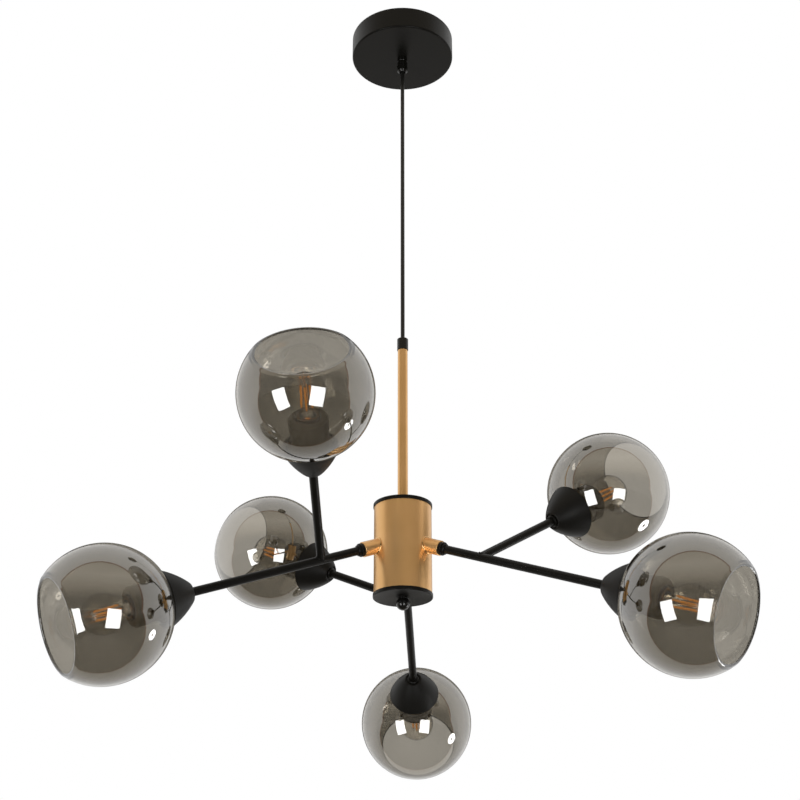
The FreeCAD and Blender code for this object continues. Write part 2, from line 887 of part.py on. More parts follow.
def bulb_base(name, place):
    """The screw cap with its contact, and on it the stem with its four filaments."""
    shell, tip = "screw_cap_diameter / 2", "contact_diameter / 2"
    top, foot = "-screw_cap_start - seat_gap", "-screw_cap_start - screw_cap_length"
    collar, stem = "(filament_circle + filament_diameter) / 2", "stem_diameter / 2"
    low = "bulb_centre - bulb_shoulder * 2"
    high = f"{low} + filament_length"
    body = turned(
        name,
        [
            ("0", f"{foot} - contact_height"),
            (tip, f"{foot} - contact_height"),
            (tip, f"{foot} - contact_height / 2"),
            (shell, foot),
            (shell, top),
            (collar, top),
            (collar, low),
            (stem, f"{low} + stem_collar"),
            (stem, high),
            (collar, high),
            (collar, f"{high} + stem_collar"),
            ("0", f"{high} + stem_collar"),
        ],
    )
    for step in range(FILAMENTS):
        spoke = Rotation(Vector(0, 0, 1), 360 * step / FILAMENTS)
        foot_at = spoke.multVec(Vector(size("(filament_circle - filament_diameter) / 2"), 0, size(low)))
        filament = Placement(foot_at, spoke)
        cylinder(body, "Additive", "filament_diameter / 2", "filament_length", filament)
    body.Placement = place
    return body


def group(name, members):
    """Several separate solids that share one name."""
    compound = doc.addObject("Part::Compound", name)
    compound.Links = members
    doc.recompute()
    return compound


# --- the whole chandelier ---

keep(ceiling_bracket(), "ceiling_bracket")
keep(canopy(), "canopy")
keep(canopy_nipple(), "canopy_nipple")
keep(nipple_nuts(), "nipple_nuts")
beside_nuts = "nut_across_flats / sqrt(3) + block_clearance"
under_web = "-strap_drop - strap_thickness - block_height"
keep(terminal_block("terminal_block", beside_nuts, under_web, None), "terminal_block")
keep(cord_grip(), "cord_grip")
keep(grip_screw(), "grip_screw")
keep(cable_tail(), "cable_tail")
keep(cable(), "cable")
keep(ferrule(), "ferrule")
keep(down_rod(), "down_rod")
keep(coupler_nut(), "coupler_nut")
keep(tie_rod(), "tie_rod")
keep(hub_shell(), "hub_shell")
rod_hole, tie_hole = "rod_diameter / 2 + running_gap", "tie_diameter / 2 + hole_gap"
keep(hub_cap("hub_top_cap", rod_hole, f"{SHELL_FOOT} + hub_length", True), "hub_top_cap")
keep(hub_cap("hub_bottom_cap", tie_hole, SHELL_FOOT, False), "hub_bottom_cap")
keep(finial(), "finial")
beside_tie = "tie_diameter / 4"
in_hub = f"{SHELL_FOOT} + cap_lip_depth * 2"
keep(terminal_block("wire_connector", beside_tie, in_hub, "tie_diameter / 2 + seat_gap"), "wire_connector")
for arm in ARMS:
    keep(arm_tubes(arm), f"arm_{arm}")
    keep(lock_collar(arm), f"lock_collar_{arm}")
    places = {lamp: lamp_place(arm, lamp) for lamp in LAMPS}
    nuts = [cup_nut(f"cup_nut_{arm}_{lamp}", places[lamp]) for lamp in LAMPS]
    keep(group(f"cup_nuts_{arm}", nuts), f"cup_nuts_{arm}")
    rings = [shade_ring(f"shade_ring_{arm}_{lamp}", places[lamp]) for lamp in LAMPS]
    keep(group(f"shade_rings_{arm}", rings), f"shade_rings_{arm}")
    for lamp, place in places.items():
        for make in (cup, lampholder, globe, bulb_glass, bulb_base):
            label = f"{make.__name__}_{arm}_{lamp}"
            keep(make(label, place), label)

doc.recompute()
for item in doc.Objects:
    if {"Invalid", "Error"} & set(item.State):
        raise RuntimeError(f"{item.Label} in {item.Name}: {item.State}")
os.makedirs("parts", exist_ok=True)
for piece in pieces:
    if piece.Shape.isNull() or not piece.Shape.isValid():
        raise RuntimeError(f"{piece.Label} has no valid shape")
    piece.Shape.exportStep(f"parts/{piece.Label}.step")
print(f"{len(pieces)} sub-parts")
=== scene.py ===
"""Looks of the branch chandelier: smoked glass globes on black arms round a brushed gold hub.

Outlines are in millimetres, as pairs of radius and height. The scene itself is in metres.
A lamp is drawn about its globe's centre with +Z out through the mouth. A tube is drawn along +Z
from the point where its line starts, and the rest about the axis that the cable hangs on.
"""

import json
import math
import random

import bmesh
import bpy
from mathutils import Matrix, Vector


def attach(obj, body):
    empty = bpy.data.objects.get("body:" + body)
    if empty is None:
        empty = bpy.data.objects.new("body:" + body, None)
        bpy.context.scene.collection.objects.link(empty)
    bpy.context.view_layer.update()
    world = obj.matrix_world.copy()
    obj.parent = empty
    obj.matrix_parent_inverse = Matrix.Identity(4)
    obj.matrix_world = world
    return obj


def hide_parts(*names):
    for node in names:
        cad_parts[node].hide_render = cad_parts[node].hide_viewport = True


MM = 0.001
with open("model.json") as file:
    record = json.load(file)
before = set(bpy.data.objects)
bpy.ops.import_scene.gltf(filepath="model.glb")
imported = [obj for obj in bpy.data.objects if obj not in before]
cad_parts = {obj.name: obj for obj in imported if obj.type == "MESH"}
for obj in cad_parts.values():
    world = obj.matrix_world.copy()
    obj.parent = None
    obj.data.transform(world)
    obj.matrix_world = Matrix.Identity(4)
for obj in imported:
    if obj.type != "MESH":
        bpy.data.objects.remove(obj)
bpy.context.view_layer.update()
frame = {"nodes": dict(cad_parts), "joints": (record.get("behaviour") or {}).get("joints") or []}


# --- node and colour helpers ---

# a colour Mix node's sockets, by number because their names repeat
SHARE, FIRST, SECOND, MIXED = 0, 6, 7, 2
# most of a noise's values lie between these
MOST = {"From Min": 0.3, "From Max": 0.7}


def linear(hex_colour):
    """An sRGB hex colour as the linear colour that shaders take."""
    channels = []
    for start in (1, 3, 5):
        stored = int(hex_colour[start : start + 2], 16) / 255
        channels.append(stored / 12.92 if stored <= 0.04045 else ((stored + 0.055) / 1.055) ** 2.4)
    return (*channels, 1.0)


def add_node(tree, kind, inputs=None, **settings):
    """Adds a node with its settings; an input is a value, or the socket that feeds it."""
    made = tree.nodes.new("ShaderNode" + kind)
    for name, value in settings.items():
        setattr(made, name, value)
    for name, value in (inputs or {}).items():
        if isinstance(value, bpy.types.NodeSocket):
            tree.links.new(value, made.inputs[name])
        else:
            made.inputs[name].default_value = value
    return made


def new_material(name):
    """An empty material and its node tree."""
    material = bpy.data.materials.new(name)
    material.use_nodes = True
    material.node_tree.nodes.clear()
    return material, material.node_tree


def blend(tree, pattern, low, high, colour, other):
    """A colour that goes from one to another while a pattern's value goes from low to high."""
    share = add_node(tree, "MapRange", {"Value": pattern, "From Min": low, "From Max": high})
    mix = add_node(
        tree,
        "Mix",
        {SHARE: share.outputs["Result"], FIRST: linear(colour), SECOND: linear(other)},
        data_type="RGBA",
    )
    return mix.outputs[MIXED]


# --- materials ---
#
# A pattern's scale is how many of its features lie in a metre: 1000 for features 1 mm across.


def powder_coat(name, colour, rubbed, roughness, peel, gloss):
    """Polyester powder baked on steel: a skin with orange peel and a grain of slightly paler
    powder.
    """
    material, tree = new_material(name)
    place = add_node(tree, "TexCoord").outputs["Object"]
    # orange peel has dimples about 1.5 mm across
    dimples = add_node(tree, "TexNoise", {"Vector": place, "Scale": 650.0, "Detail": 2.0})
    skin = add_node(
        tree, "Bump", {"Strength": peel, "Distance": 0.06 * MM, "Height": dimples.outputs["Fac"]}
    )
    # clouds of slightly duller powder, 33 mm across
    clouds = add_node(
        tree, "TexNoise", {"Vector": place, "Scale": 30.0, "Detail": 4.0, "Roughness": 0.6}
    )
    limits = {"To Min": roughness - 0.05, "To Max": roughness + 0.06}
    dull = add_node(tree, "MapRange", {"Value": clouds.outputs["Fac"], **MOST, **limits})
    # the powder's own grain, drawn 0.3 mm across, coarser than the real 0.05 mm so that it shows
    powder = add_node(tree, "TexNoise", {"Vector": place, "Scale": 3200.0, "Detail": 1.0})
    paint = blend(tree, powder.outputs["Fac"], 0.35, 0.8, colour, rubbed)
    surface = add_node(
        tree,
        "BsdfPrincipled",
        {
            "Base Color": paint,
            "Roughness": dull.outputs["Result"],
            "IOR": 1.5,
            "Specular IOR Level": gloss,
            "Normal": skin.outputs["Normal"],
        },
    )
    add_node(tree, "OutputMaterial", {"Surface": surface.outputs["BSDF"]})
    return material


def brushed_gold():
    """Plated steel tube, brushed round and lacquered satin: warm, with broad soft bands."""
    material, tree = new_material("brushed_gold_plate")
    place = add_node(tree, "TexCoord").outputs["Object"]
    # brush lines run round the tube: 1.6 times these scales makes them 45 mm long and 0.4 mm apart
    squeeze = add_node(tree, "Mapping", {"Vector": place, "Scale": (14.0, 14.0, 1500.0)})
    lines = add_node(
        tree,
        "TexNoise",
        {"Vector": squeeze.outputs["Vector"], "Scale": 1.6, "Detail": 3.0, "Roughness": 0.65},
    )
    scratches = add_node(
        tree, "Bump", {"Strength": 0.22, "Distance": 0.05 * MM, "Height": lines.outputs["Fac"]}
    )
    # the plating drifts in tone over a few centimetres
    drift = add_node(tree, "TexNoise", {"Vector": place, "Scale": 22.0, "Detail": 3.0})
    plate = blend(tree, drift.outputs["Fac"], 0.35, 0.65, "#E4B374", "#EBBA7D")
    satin = add_node(
        tree, "MapRange", {"Value": lines.outputs["Fac"], **MOST, "To Min": 0.3, "To Max": 0.4}
    )
    surface = add_node(
        tree,
        "BsdfPrincipled",
        {
            "Base Color": plate,
            "Metallic": 0.85,
            "Roughness": satin.outputs["Result"],
            "Coat Weight": 0.25,
            "Coat Roughness": 0.35,
            "Normal": scratches.outputs["Normal"],
        },
    )
    add_node(tree, "OutputMaterial", {"Surface": surface.outputs["BSDF"]})
    return material


def show_glass(tree, surface, tint):
    """Shows glass that lets the light for what is inside it through, dimmed by a tint."""
    ray = add_node(tree, "LightPath")
    passes = add_node(
        tree,
        "Math",
        {0: ray.outputs["Is Shadow Ray"], 1: ray.outputs["Is Diffuse Ray"]},
        operation="MAXIMUM",
    )
    through = add_node(tree, "BsdfTransparent", {"Color": linear(tint)})
    either = add_node(
        tree,
        "MixShader",
        {0: passes.outputs["Value"], 1: surface.outputs["BSDF"], 2: through.outputs["BSDF"]},
    )
    add_node(tree, "OutputMaterial", {"Surface": either.outputs["Shader"]})


def smoked_glass():
    """Blown glass, half mirror and half tint by its smoke-grey vapour coat, which lifts its IOR."""
    material, tree = new_material("smoked_mirror_glass")
    place = add_node(tree, "TexCoord").outputs["Object"]
    # blown walls wander slightly over 40 mm or so, which bends the edges of what they mirror
    waves = add_node(
        tree, "TexNoise", {"Vector": place, "Scale": 26.0, "Detail": 1.0, "Roughness": 0.4}
    )
    wander = add_node(
        tree, "Bump", {"Strength": 0.35, "Distance": 0.35 * MM, "Height": waves.outputs["Fac"]}
    )
    surface = add_node(
        tree,
        "BsdfPrincipled",
        {
            "Base Color": linear("#989389"),
            "Roughness": 0.0,
            "IOR": 2.3,
            "Transmission Weight": 1.0,
            "Normal": wander.outputs["Normal"],
        },
    )
    show_glass(tree, surface, "#B8B3A9")
    return material


def bulb_glass():
    """Clear soda-lime glass blown thin: it shows by its highlights and by a painted shade at its
    edges.
    """
    material, tree = new_material("clear_soda_lime_glass")
    # painted shade: the glass turns dark grey-brown where it faces away from the view, which draws
    # its outline
    slant = add_node(tree, "LayerWeight", {"Blend": 0.5})
    tint = blend(tree, slant.outputs["Facing"], 0.6, 0.95, "#FBF8F2", "#5A5348")
    surface = add_node(
        tree,
        "BsdfPrincipled",
        {"Base Color": tint, "Roughness": 0.0, "IOR": 1.5, "Transmission Weight": 1.0},
    )
    show_glass(tree, surface, "#F4F1EA")
    return material


def phosphor():
    """Silicone with amber phosphor over a filament: grainy, with a painted glow so that its colour
    shows.
    """
    material, tree = new_material("amber_phosphor_silicone")
    place = add_node(tree, "TexCoord").outputs["Object"]
    grains = add_node(tree, "TexNoise", {"Vector": place, "Scale": 1400.0, "Detail": 2.0})
    amber = add_node(
        tree,
        "Mix",
        {SHARE: grains.outputs["Fac"], FIRST: linear("#B8741E"), SECOND: linear("#E0A44A")},
        data_type="RGBA",
    )
    surface = add_node(
        tree,
        "BsdfPrincipled",
        {
            "Base Color": amber.outputs[MIXED],
            "Roughness": 0.45,
            "IOR": 1.41,
            # painted glow: the filaments give off a little light of their own, so their amber shows
            # through the smoked glass
            "Emission Color": linear("#E8983A"),
            "Emission Strength": 1.2,
        },
    )
    add_node(tree, "OutputMaterial", {"Surface": surface.outputs["BSDF"]})
    return material


def plated_metal(name, colour, tarnish, roughness, mottle_size):
    """Rolled, drawn or brazed metal with a bright skin, mottled at mottle_size millimetres."""
    material, tree = new_material(name)
    place = add_node(tree, "TexCoord").outputs["Object"]
    mottle = add_node(
        tree,
        "TexNoise",
        {"Vector": place, "Scale": 1 / (mottle_size * MM), "Detail": 3.0, "Roughness": 0.6},
    )
    plating = blend(tree, mottle.outputs["Fac"], 0.35, 0.7, colour, tarnish)
    limits = {"To Min": roughness, "To Max": roughness + 0.14}
    shine = add_node(tree, "MapRange", {"Value": mottle.outputs["Fac"], **MOST, **limits})
    surface = add_node(
        tree,
        "BsdfPrincipled",
        {"Base Color": plating, "Metallic": 1.0, "Roughness": shine.outputs["Result"]},
    )
    add_node(tree, "OutputMaterial", {"Surface": surface.outputs["BSDF"]})
    return material


def moulded_plastic(name, colour, bloom, roughness, texture_size):
    """Plastic from a die or mould: an even texture, texture_size millimetres across, and clouds."""
    material, tree = new_material(name)
    place = add_node(tree, "TexCoord").outputs["Object"]
    texture = add_node(
        tree, "TexNoise", {"Vector": place, "Scale": 1 / (texture_size * MM), "Detail": 1.0}
    )
    skin = add_node(
        tree, "Bump", {"Strength": 0.2, "Distance": 0.04 * MM, "Height": texture.outputs["Fac"]}
    )
    # the resin clouds where its flows met, 17 mm across
    flow = add_node(tree, "TexNoise", {"Vector": place, "Scale": 60.0, "Detail": 3.0})
    tone = blend(tree, flow.outputs["Fac"], 0.4, 0.75, colour, bloom)
    surface = add_node(
        tree,
        "BsdfPrincipled",
        {"Base Color": tone, "Roughness": roughness, "IOR": 1.49, "Normal": skin.outputs["Normal"]},
    )
    add_node(tree, "OutputMaterial", {"Surface": surface.outputs["BSDF"]})
    return material


# black powder comes in grades of gloss: roughness, strength of the orange peel, specular level
BLACK = powder_coat("satin_black_powder_coat", "#0B0A08", "#11100D", 0.36, 0.3, 0.17)
CUP_BLACK = powder_coat("matte_black_powder_coat", "#0D0C0A", "#14130F", 0.48, 0.4, 0.19)
SLEEVE_BLACK = powder_coat("semi_gloss_black_powder_coat", "#0B0A08", "#11100D", 0.22, 0.2, 0.4)
BALL_BLACK = powder_coat("gloss_black_powder_coat", "#0B0A09", "#100F0D", 0.16, 0.1, 0.5)
GOLD = brushed_gold()
SMOKED = smoked_glass()
CLEAR = bulb_glass()
AMBER = phosphor()
BRASS = plated_metal("stamped_brass_cap", "#B08A4A", "#8E6C38", 0.28, mottle_size=1.5)
# the seams' paler brass is partly the braze's own colour and partly a painted highlight along each
# stub's root
BRAZE_AND_HIGHLIGHT = plated_metal("brass_braze_painted_highlight", "#EBC692", "#D8AC70", 0.2, mottle_size=0.9)
NICKEL = plated_metal("drawn_nickel_wire", "#9C9890", "#7F7B74", 0.3, mottle_size=0.8)
ZINC = plated_metal("bright_zinc_plate", "#B4B5B2", "#9A9C9A", 0.3, mottle_size=4.0)
# painted light: the lampholders and shade rings are dark olive-brown, drawn this much paler to make
# up for the light the smoked glass holds back
PHENOLIC = moulded_plastic("phenolic_painted_paler", "#776C53", "#84785D", 0.34, texture_size=0.9)
NYLON = moulded_plastic("moulded_nylon", "#DAD6CB", "#CFCABD", 0.4, texture_size=0.6)
# an extruded sheath is smooth and only wanders slowly along its length
SHEATH = moulded_plastic("pvc_cable_sheath", "#0E0E0C", "#131311", 0.3, texture_size=45.0)


# --- outlines ---


def bow(start, end, radius, steps):
    """An arc from start to end, bulging right, or left for a negative radius; end is left out."""
    a, b = Vector(start), Vector(end)
    chord = b - a
    left = Vector((-chord.y, chord.x)).normalized()
    reach = math.sqrt(max(radius**2 - (chord.length / 2) ** 2, 0.0))
    centre = (a + b) / 2 + left * math.copysign(reach, radius)
    first = math.atan2(a.y - centre.y, a.x - centre.x)
    turn = 2 * math.asin(min(1.0, chord.length / 2 / abs(radius))) * math.copysign(1, radius)
    angles = [first + turn * i / steps for i in range(steps)]
    size = abs(radius)
    return [(centre.x + size * math.cos(t), centre.y + size * math.sin(t)) for t in angles]


# a rounding takes at most this share of the shorter side beside it
SIDE_SHARE = 0.45
# two sides that are this near to straight, in degrees at half their corner, get no rounding
STRAIGHT = 88


def eased(corners, steps=5, margin=0.35):
    """Rounds each corner to its third value, with a point past the rounding to keep flats flat."""
    points = []
    for i, corner in enumerate(corners):
        here = Vector(corner[:2])
        if len(corner) == 2:
            points.append(tuple(here))
            continue
        back = Vector(corners[i - 1][:2]) - here
        ahead = Vector(corners[(i + 1) % len(corners)][:2]) - here
        room = min(back.length, ahead.length) * SIDE_SHARE
        back, ahead = back.normalized(), ahead.normalized()
        half = math.acos(max(-1.0, min(1.0, back.dot(ahead)))) / 2
        if half > math.radians(STRAIGHT):
            points.append(tuple(here))
            continue
        cut = min(corner[2] / math.tan(half), room)
        radius = cut * math.tan(half)
        centre = here + (back + ahead).normalized() * (radius / math.sin(half))
        first, last = here + back * cut - centre, here + ahead * cut - centre
        turn = first.angle_signed(last)
        hold = min(margin, room)
        points.append(tuple(here + back * (cut + hold)))
        for step in range(steps + 1):
            spot = first.copy()
            spot.rotate(Matrix.Rotation(-turn * step / steps, 2))
            points.append(tuple(centre + spot))
        points.append(tuple(here + ahead * (cut + hold)))
    return points


# --- mesh builders ---

# nearer than this, in millimetres, a point is on the axis
ON_AXIS = 1e-6
# vertices nearer than this, in metres, are one
ONE_POINT = 1e-6


def mesh_of(name, bm, sharp=34.0):
    """A smooth-shaded mesh from a bmesh; edges sharper than an angle in degrees stay crisp."""
    bmesh.ops.remove_doubles(bm, verts=bm.verts, dist=ONE_POINT)
    bmesh.ops.recalc_face_normals(bm, faces=bm.faces)
    for face in bm.faces:
        face.smooth = True
    for edge in bm.edges:
        if len(edge.link_faces) == 2:
            edge.smooth = edge.calc_face_angle(0.0) < math.radians(sharp)
    mesh = bpy.data.meshes.new(name)
    bm.to_mesh(mesh)
    bm.free()
    return mesh


def spin(bm, outline, around, place=None, wave=None):
    """Spins an outline about Z into a bmesh, closed unless it starts and ends on the axis."""
    place = place or Matrix.Identity(4)
    open_ends = outline[0][0] < ON_AXIS and outline[-1][0] < ON_AXIS
    rings = []
    for radius, height in outline:
        if radius < ON_AXIS:
            rings.append([bm.verts.new(place @ Vector((0, 0, height * MM)))] * around)
            continue
        ring = []
        for step in range(around):
            angle = 2 * math.pi * step / around
            reach = (radius + (wave(angle, height) if wave else 0.0)) * MM
            spot = Vector((reach * math.cos(angle), reach * math.sin(angle), height * MM))
            ring.append(bm.verts.new(place @ spot))
        rings.append(ring)
    pairs = list(zip(rings, rings[1:]))
    if not open_ends:
        pairs.append((rings[-1], rings[0]))
    for lower, upper in pairs:
        for step in range(around):
            ahead = (step + 1) % around
            corners = []
            for vert in (lower[step], lower[ahead], upper[ahead], upper[step]):
                if vert not in corners:
                    corners.append(vert)
            if len(corners) > 2:
                bm.faces.new(corners)


def sweep(bm, path, radii, sides=12, closed=False):
    """A tube along points in metres, with its radius in millimetres at each."""
    count = len(path)
    rings = []
    normal = None
    for i, spot in enumerate(path):
        before = path[i - 1] if closed or i else path[i]
        after = path[(i + 1) % count] if closed or i < count - 1 else path[i]
        along = (after - before).normalized()
        if normal is None:
            normal = along.orthogonal().normalized()
        normal = (normal - along * normal.dot(along)).normalized()
        side = along.cross(normal)
        ring = []
        for k in range(sides):
            turn = 2 * math.pi * k / sides
            out = normal * math.cos(turn) + side * math.sin(turn)
            ring.append(bm.verts.new(spot + out * (radii[i] * MM)))
        rings.append(ring)
    pairs = list(zip(rings, rings[1:]))
    if closed:
        # the rings may come back turned, so the last one meets the first at its nearest vertex
        shift = min(range(sides), key=lambda k: (rings[-1][0].co - rings[0][k].co).length)
        pairs.append((rings[-1], rings[0][shift:] + rings[0][:shift]))
    else:
        bm.faces.new(rings[0])
        bm.faces.new(rings[-1])
    for lower, upper in pairs:
        for k in range(sides):
            ahead = (k + 1) % sides
            bm.faces.new((lower[k], lower[ahead], upper[ahead], upper[k]))


def put(name, mesh, material=None, place=None):
    """An object at the origin, whose mesh is moved to its place in the row frame."""
    if place:
        mesh.transform(place)
    if material:
        mesh.materials.append(material)
    thing = bpy.data.objects.new(name, mesh)
    bpy.context.scene.collection.objects.link(thing)
    return thing


def piece(name, mesh, material, body, nodes=(), place=None):
    """A visible piece that moves with a body and stands for CAD nodes."""
    thing = put(name, mesh, material, place)
    bpy.context.view_layer.update()
    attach(thing, body)
    if nodes:
        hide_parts(*nodes)
    return thing


def turned(name, outline, around=96, wave=None):
    """A mesh spun from one outline."""
    bm = bmesh.new()
    spin(bm, outline, around, wave=wave)
    return mesh_of(name, bm)


def fused(name, meshes):
    """One closed mesh from several that run into each other."""
    parts = [put(f"{name}_part", mesh) for mesh in meshes]
    for part in parts[1:]:
        join = parts[0].modifiers.new("join", "BOOLEAN")
        join.operation = "UNION"
        join.solver = "EXACT"
        join.object = part
    bpy.context.view_layer.update()
    whole = parts[0].evaluated_get(bpy.context.evaluated_depsgraph_get())
    bm = bmesh.new()
    bm.from_mesh(whole.to_mesh())
    whole.to_mesh_clear()
    for part in parts:
        bpy.data.objects.remove(part)
    return mesh_of(name, bm)


def facing(spot, direction):
    """A place at a point in metres with +Z along a direction."""
    return Matrix.Translation(spot) @ Vector(direction).to_track_quat("Z", "Y").to_matrix().to_4x4()


# --- ceiling: canopy, cord grip and cable ---

# the bore of a part that fits round a 10 mm tube or thread, and a hole that clears one
SNUG, CLEAR_HOLE = 5.05, 5.2
CANOPY_RADIUS, CANOPY_HEIGHT, CANOPY_WALL = 70.0, 32.0, 1.2
SLEEVE_RADIUS, SLEEVE_BORE = 7.0, 2.9
GRIP_END, GRIP_TOP = -56.0, -32.0
SCREW_RADIUS, SCREW_SOCKET, SCREW_FACE, SCREW_FOOT = 1.95, 0.95, 7.75, 3.2
CABLE_RADIUS = 2.6
FERRULE_TOP, ROD_TOP, ROD_FOOT = -476.0, -492.0, -717.5


def canopy():
    """The spun cup: a rounded lower edge, a rolled rim and a hole for the nipple."""
    outer, floor = CANOPY_RADIUS, -CANOPY_HEIGHT
    inner, ledge = outer - CANOPY_WALL, floor + CANOPY_WALL
    outline = eased(
        [
            (CLEAR_HOLE, floor, 0.3),
            (outer, floor, 2.0),
            (outer, 0.0, 0.5),
            (inner, 0.0, 0.5),
            (inner, ledge, 0.9),
            (CLEAR_HOLE, ledge, 0.3),
        ],
        steps=7,
        margin=0.8,
    )
    cup = turned("canopy_cup", outline, 128)
    piece("canopy_cup", cup, BLACK, "ceiling_rose", ["canopy"])


def cord_grip():
    """The grip sleeve with its tapered end, its groove and flared mouth, and its socket screw."""
    groove = SLEEVE_RADIUS - 0.3
    nipple_foot = GRIP_TOP - 9.3
    outline = eased(
        [
            (4.0, GRIP_END, 0.25),
            (4.5, GRIP_END, 0.25),
            (SLEEVE_RADIUS, GRIP_END + 2.5, 0.5),
            (SLEEVE_RADIUS, GRIP_END + 17.0, 0.15),
            (groove, GRIP_END + 17.3, 0.1),
            (groove, GRIP_END + 17.9, 0.1),
            (SLEEVE_RADIUS, GRIP_END + 18.2, 0.15),
            (SLEEVE_RADIUS, GRIP_TOP - 0.02, 0.3),
            (SNUG, GRIP_TOP - 0.02),
            (SNUG, nipple_foot),
            (SLEEVE_BORE, nipple_foot),
            (SLEEVE_BORE, GRIP_END + 4.0, 0.3),
        ]
    )
    sleeve = turned("grip_sleeve", outline, 64)
    piece("grip_sleeve", sleeve, SLEEVE_BLACK, "ceiling_rose", ["cord_grip"])
    outline = eased(
        [
            (0.0, SCREW_FOOT),
            (SCREW_RADIUS, SCREW_FOOT),
            (SCREW_RADIUS, SCREW_FACE, 0.35),
            (SCREW_SOCKET, SCREW_FACE, 0.1),
            (SCREW_SOCKET, 5.8),
            (0.0, 5.8),
        ],
        steps=4,
        margin=0.1,
    )
    screw = turned("grip_set_screw", outline, 24)
    place = facing((0, 0, (GRIP_END + 10) * MM), (-1, 0, 0))
    piece("grip_set_screw", screw, BLACK, "ceiling_rose", ["grip_screw"], place)


def cable():
    """The hanging cable: one taut run of round flex from the grip's mouth to the ferrule's."""
    line = bpy.data.curves.new("hanging_cable", "CURVE")
    line.dimensions = "3D"
    line.bevel_depth = CABLE_RADIUS * MM
    line.bevel_resolution = 8
    line.use_fill_caps = True
    line.resolution_u = 8
    # the whole run hangs straight, so each end has one more point, 6 diameters from its mouth
    clear = 12 * CABLE_RADIUS
    heights = (GRIP_END, GRIP_END - clear, FERRULE_TOP + clear, FERRULE_TOP)
    run = line.splines.new("NURBS")
    run.points.add(len(heights) - 1)
    for point, height in zip(run.points, heights):
        point.co = (0.0, 0.0, height * MM, 1.0)
    run.order_u = 3
    run.use_endpoint_u = True
    line.materials.append(SHEATH)
    cord = bpy.data.objects.new("hanging_cable", line)
    bpy.context.scene.collection.objects.link(cord)
    bpy.context.view_layer.update()
    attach(cord, "cable")
    # the stubs of sheath inside the two flared mouths, each with a domed end
    bm = bmesh.new()
    for height, sense in ((GRIP_END, 1), (FERRULE_TOP, -1)):
        stub = []
        for degrees in range(0, 91, 15):
            turn = math.radians(degrees)
            rise = 4 + CABLE_RADIUS * math.cos(turn)
            stub.append((CABLE_RADIUS * math.sin(turn), height + sense * rise))
        stub += [(CABLE_RADIUS, height - sense * 2), (0.0, height - sense * 2)]
        spin(bm, stub, 32)
    mesh = mesh_of("cable_ends", bm)
    ends = piece("cable_ends", mesh, SHEATH, "cable", ["cable"])


def ferrule():
    """The black sleeve on the rod's top, with its eased edges, flared mouth and hidden spigot."""
    spigot_foot, shoulder = ROD_TOP - 9, ROD_TOP + 0.1
    outline = eased(
        [
            (SLEEVE_BORE, spigot_foot),
            (5.0, spigot_foot, 0.3),
            (5.0, shoulder),
            (SLEEVE_RADIUS, shoulder, 0.35),
            (SLEEVE_RADIUS, FERRULE_TOP, 0.8),
            (4.05, FERRULE_TOP, 0.3),
            (SLEEVE_BORE, FERRULE_TOP - 4, 0.3),
        ]
    )
    sleeve = turned("rod_ferrule", outline, 64)
    piece("rod_ferrule", sleeve, SLEEVE_BLACK, "ferrule", ["ferrule"])


# --- rod and hub ---

ROD_RADIUS = 6.25
HUB_RADIUS, HUB_WALL = 34.5, 1.5
SHELL_TOP, SHELL_FOOT = -705.5, -813.5
CAP_RADIUS, CAP_THICKNESS, CAP_LIP = 35.5, 4.5, 4
BALL_RADIUS, COLLAR_RADIUS, COLLAR_HEIGHT = 8.0, 6.0, 1.2
ARM_LINE = -745.5
STUB_RADIUS, STUB_ROOT, STUB_REACH = 9.0, 33.2, 57.0


def down_rod():
    """The gold tube from the ferrule into the hub."""
    low, high = (ROD_RADIUS, ROD_FOOT, 0.2), (ROD_RADIUS, ROD_TOP, 0.3)
    outline = eased([(SNUG, ROD_FOOT), low, high, (SNUG, ROD_TOP, 0.2)])
    rod = turned("gold_down_rod", outline, 64)
    piece("gold_down_rod", rod, GOLD, "fixture", ["down_rod"])


def farther_root(a, b, c):
    """The larger root of a quadratic whose a is above zero."""
    return (-b + math.sqrt(max(b * b - 4 * a * c, 0.0))) / (2 * a)


def seam(axis, place, tube_radius, wall_radius, steps):
    """Where a tube along axis leaves an upright wall: points in metres and both outward normals."""
    side = axis.orthogonal().normalized()
    other = axis.cross(side)
    found = []
    for step in range(steps):
        turn = 2 * math.pi * step / steps
        out = side * math.cos(turn) + other * math.sin(turn)
        rim = out * tube_radius * MM
        along = farther_root(
            axis.x**2 + axis.y**2,
            2 * (rim.x * axis.x + rim.y * axis.y),
            rim.x**2 + rim.y**2 - (wall_radius * MM) ** 2,
        )
        spot = rim + axis * along
        found.append((spot + place, Vector((spot.x, spot.y, 0)).normalized(), out))
    return found


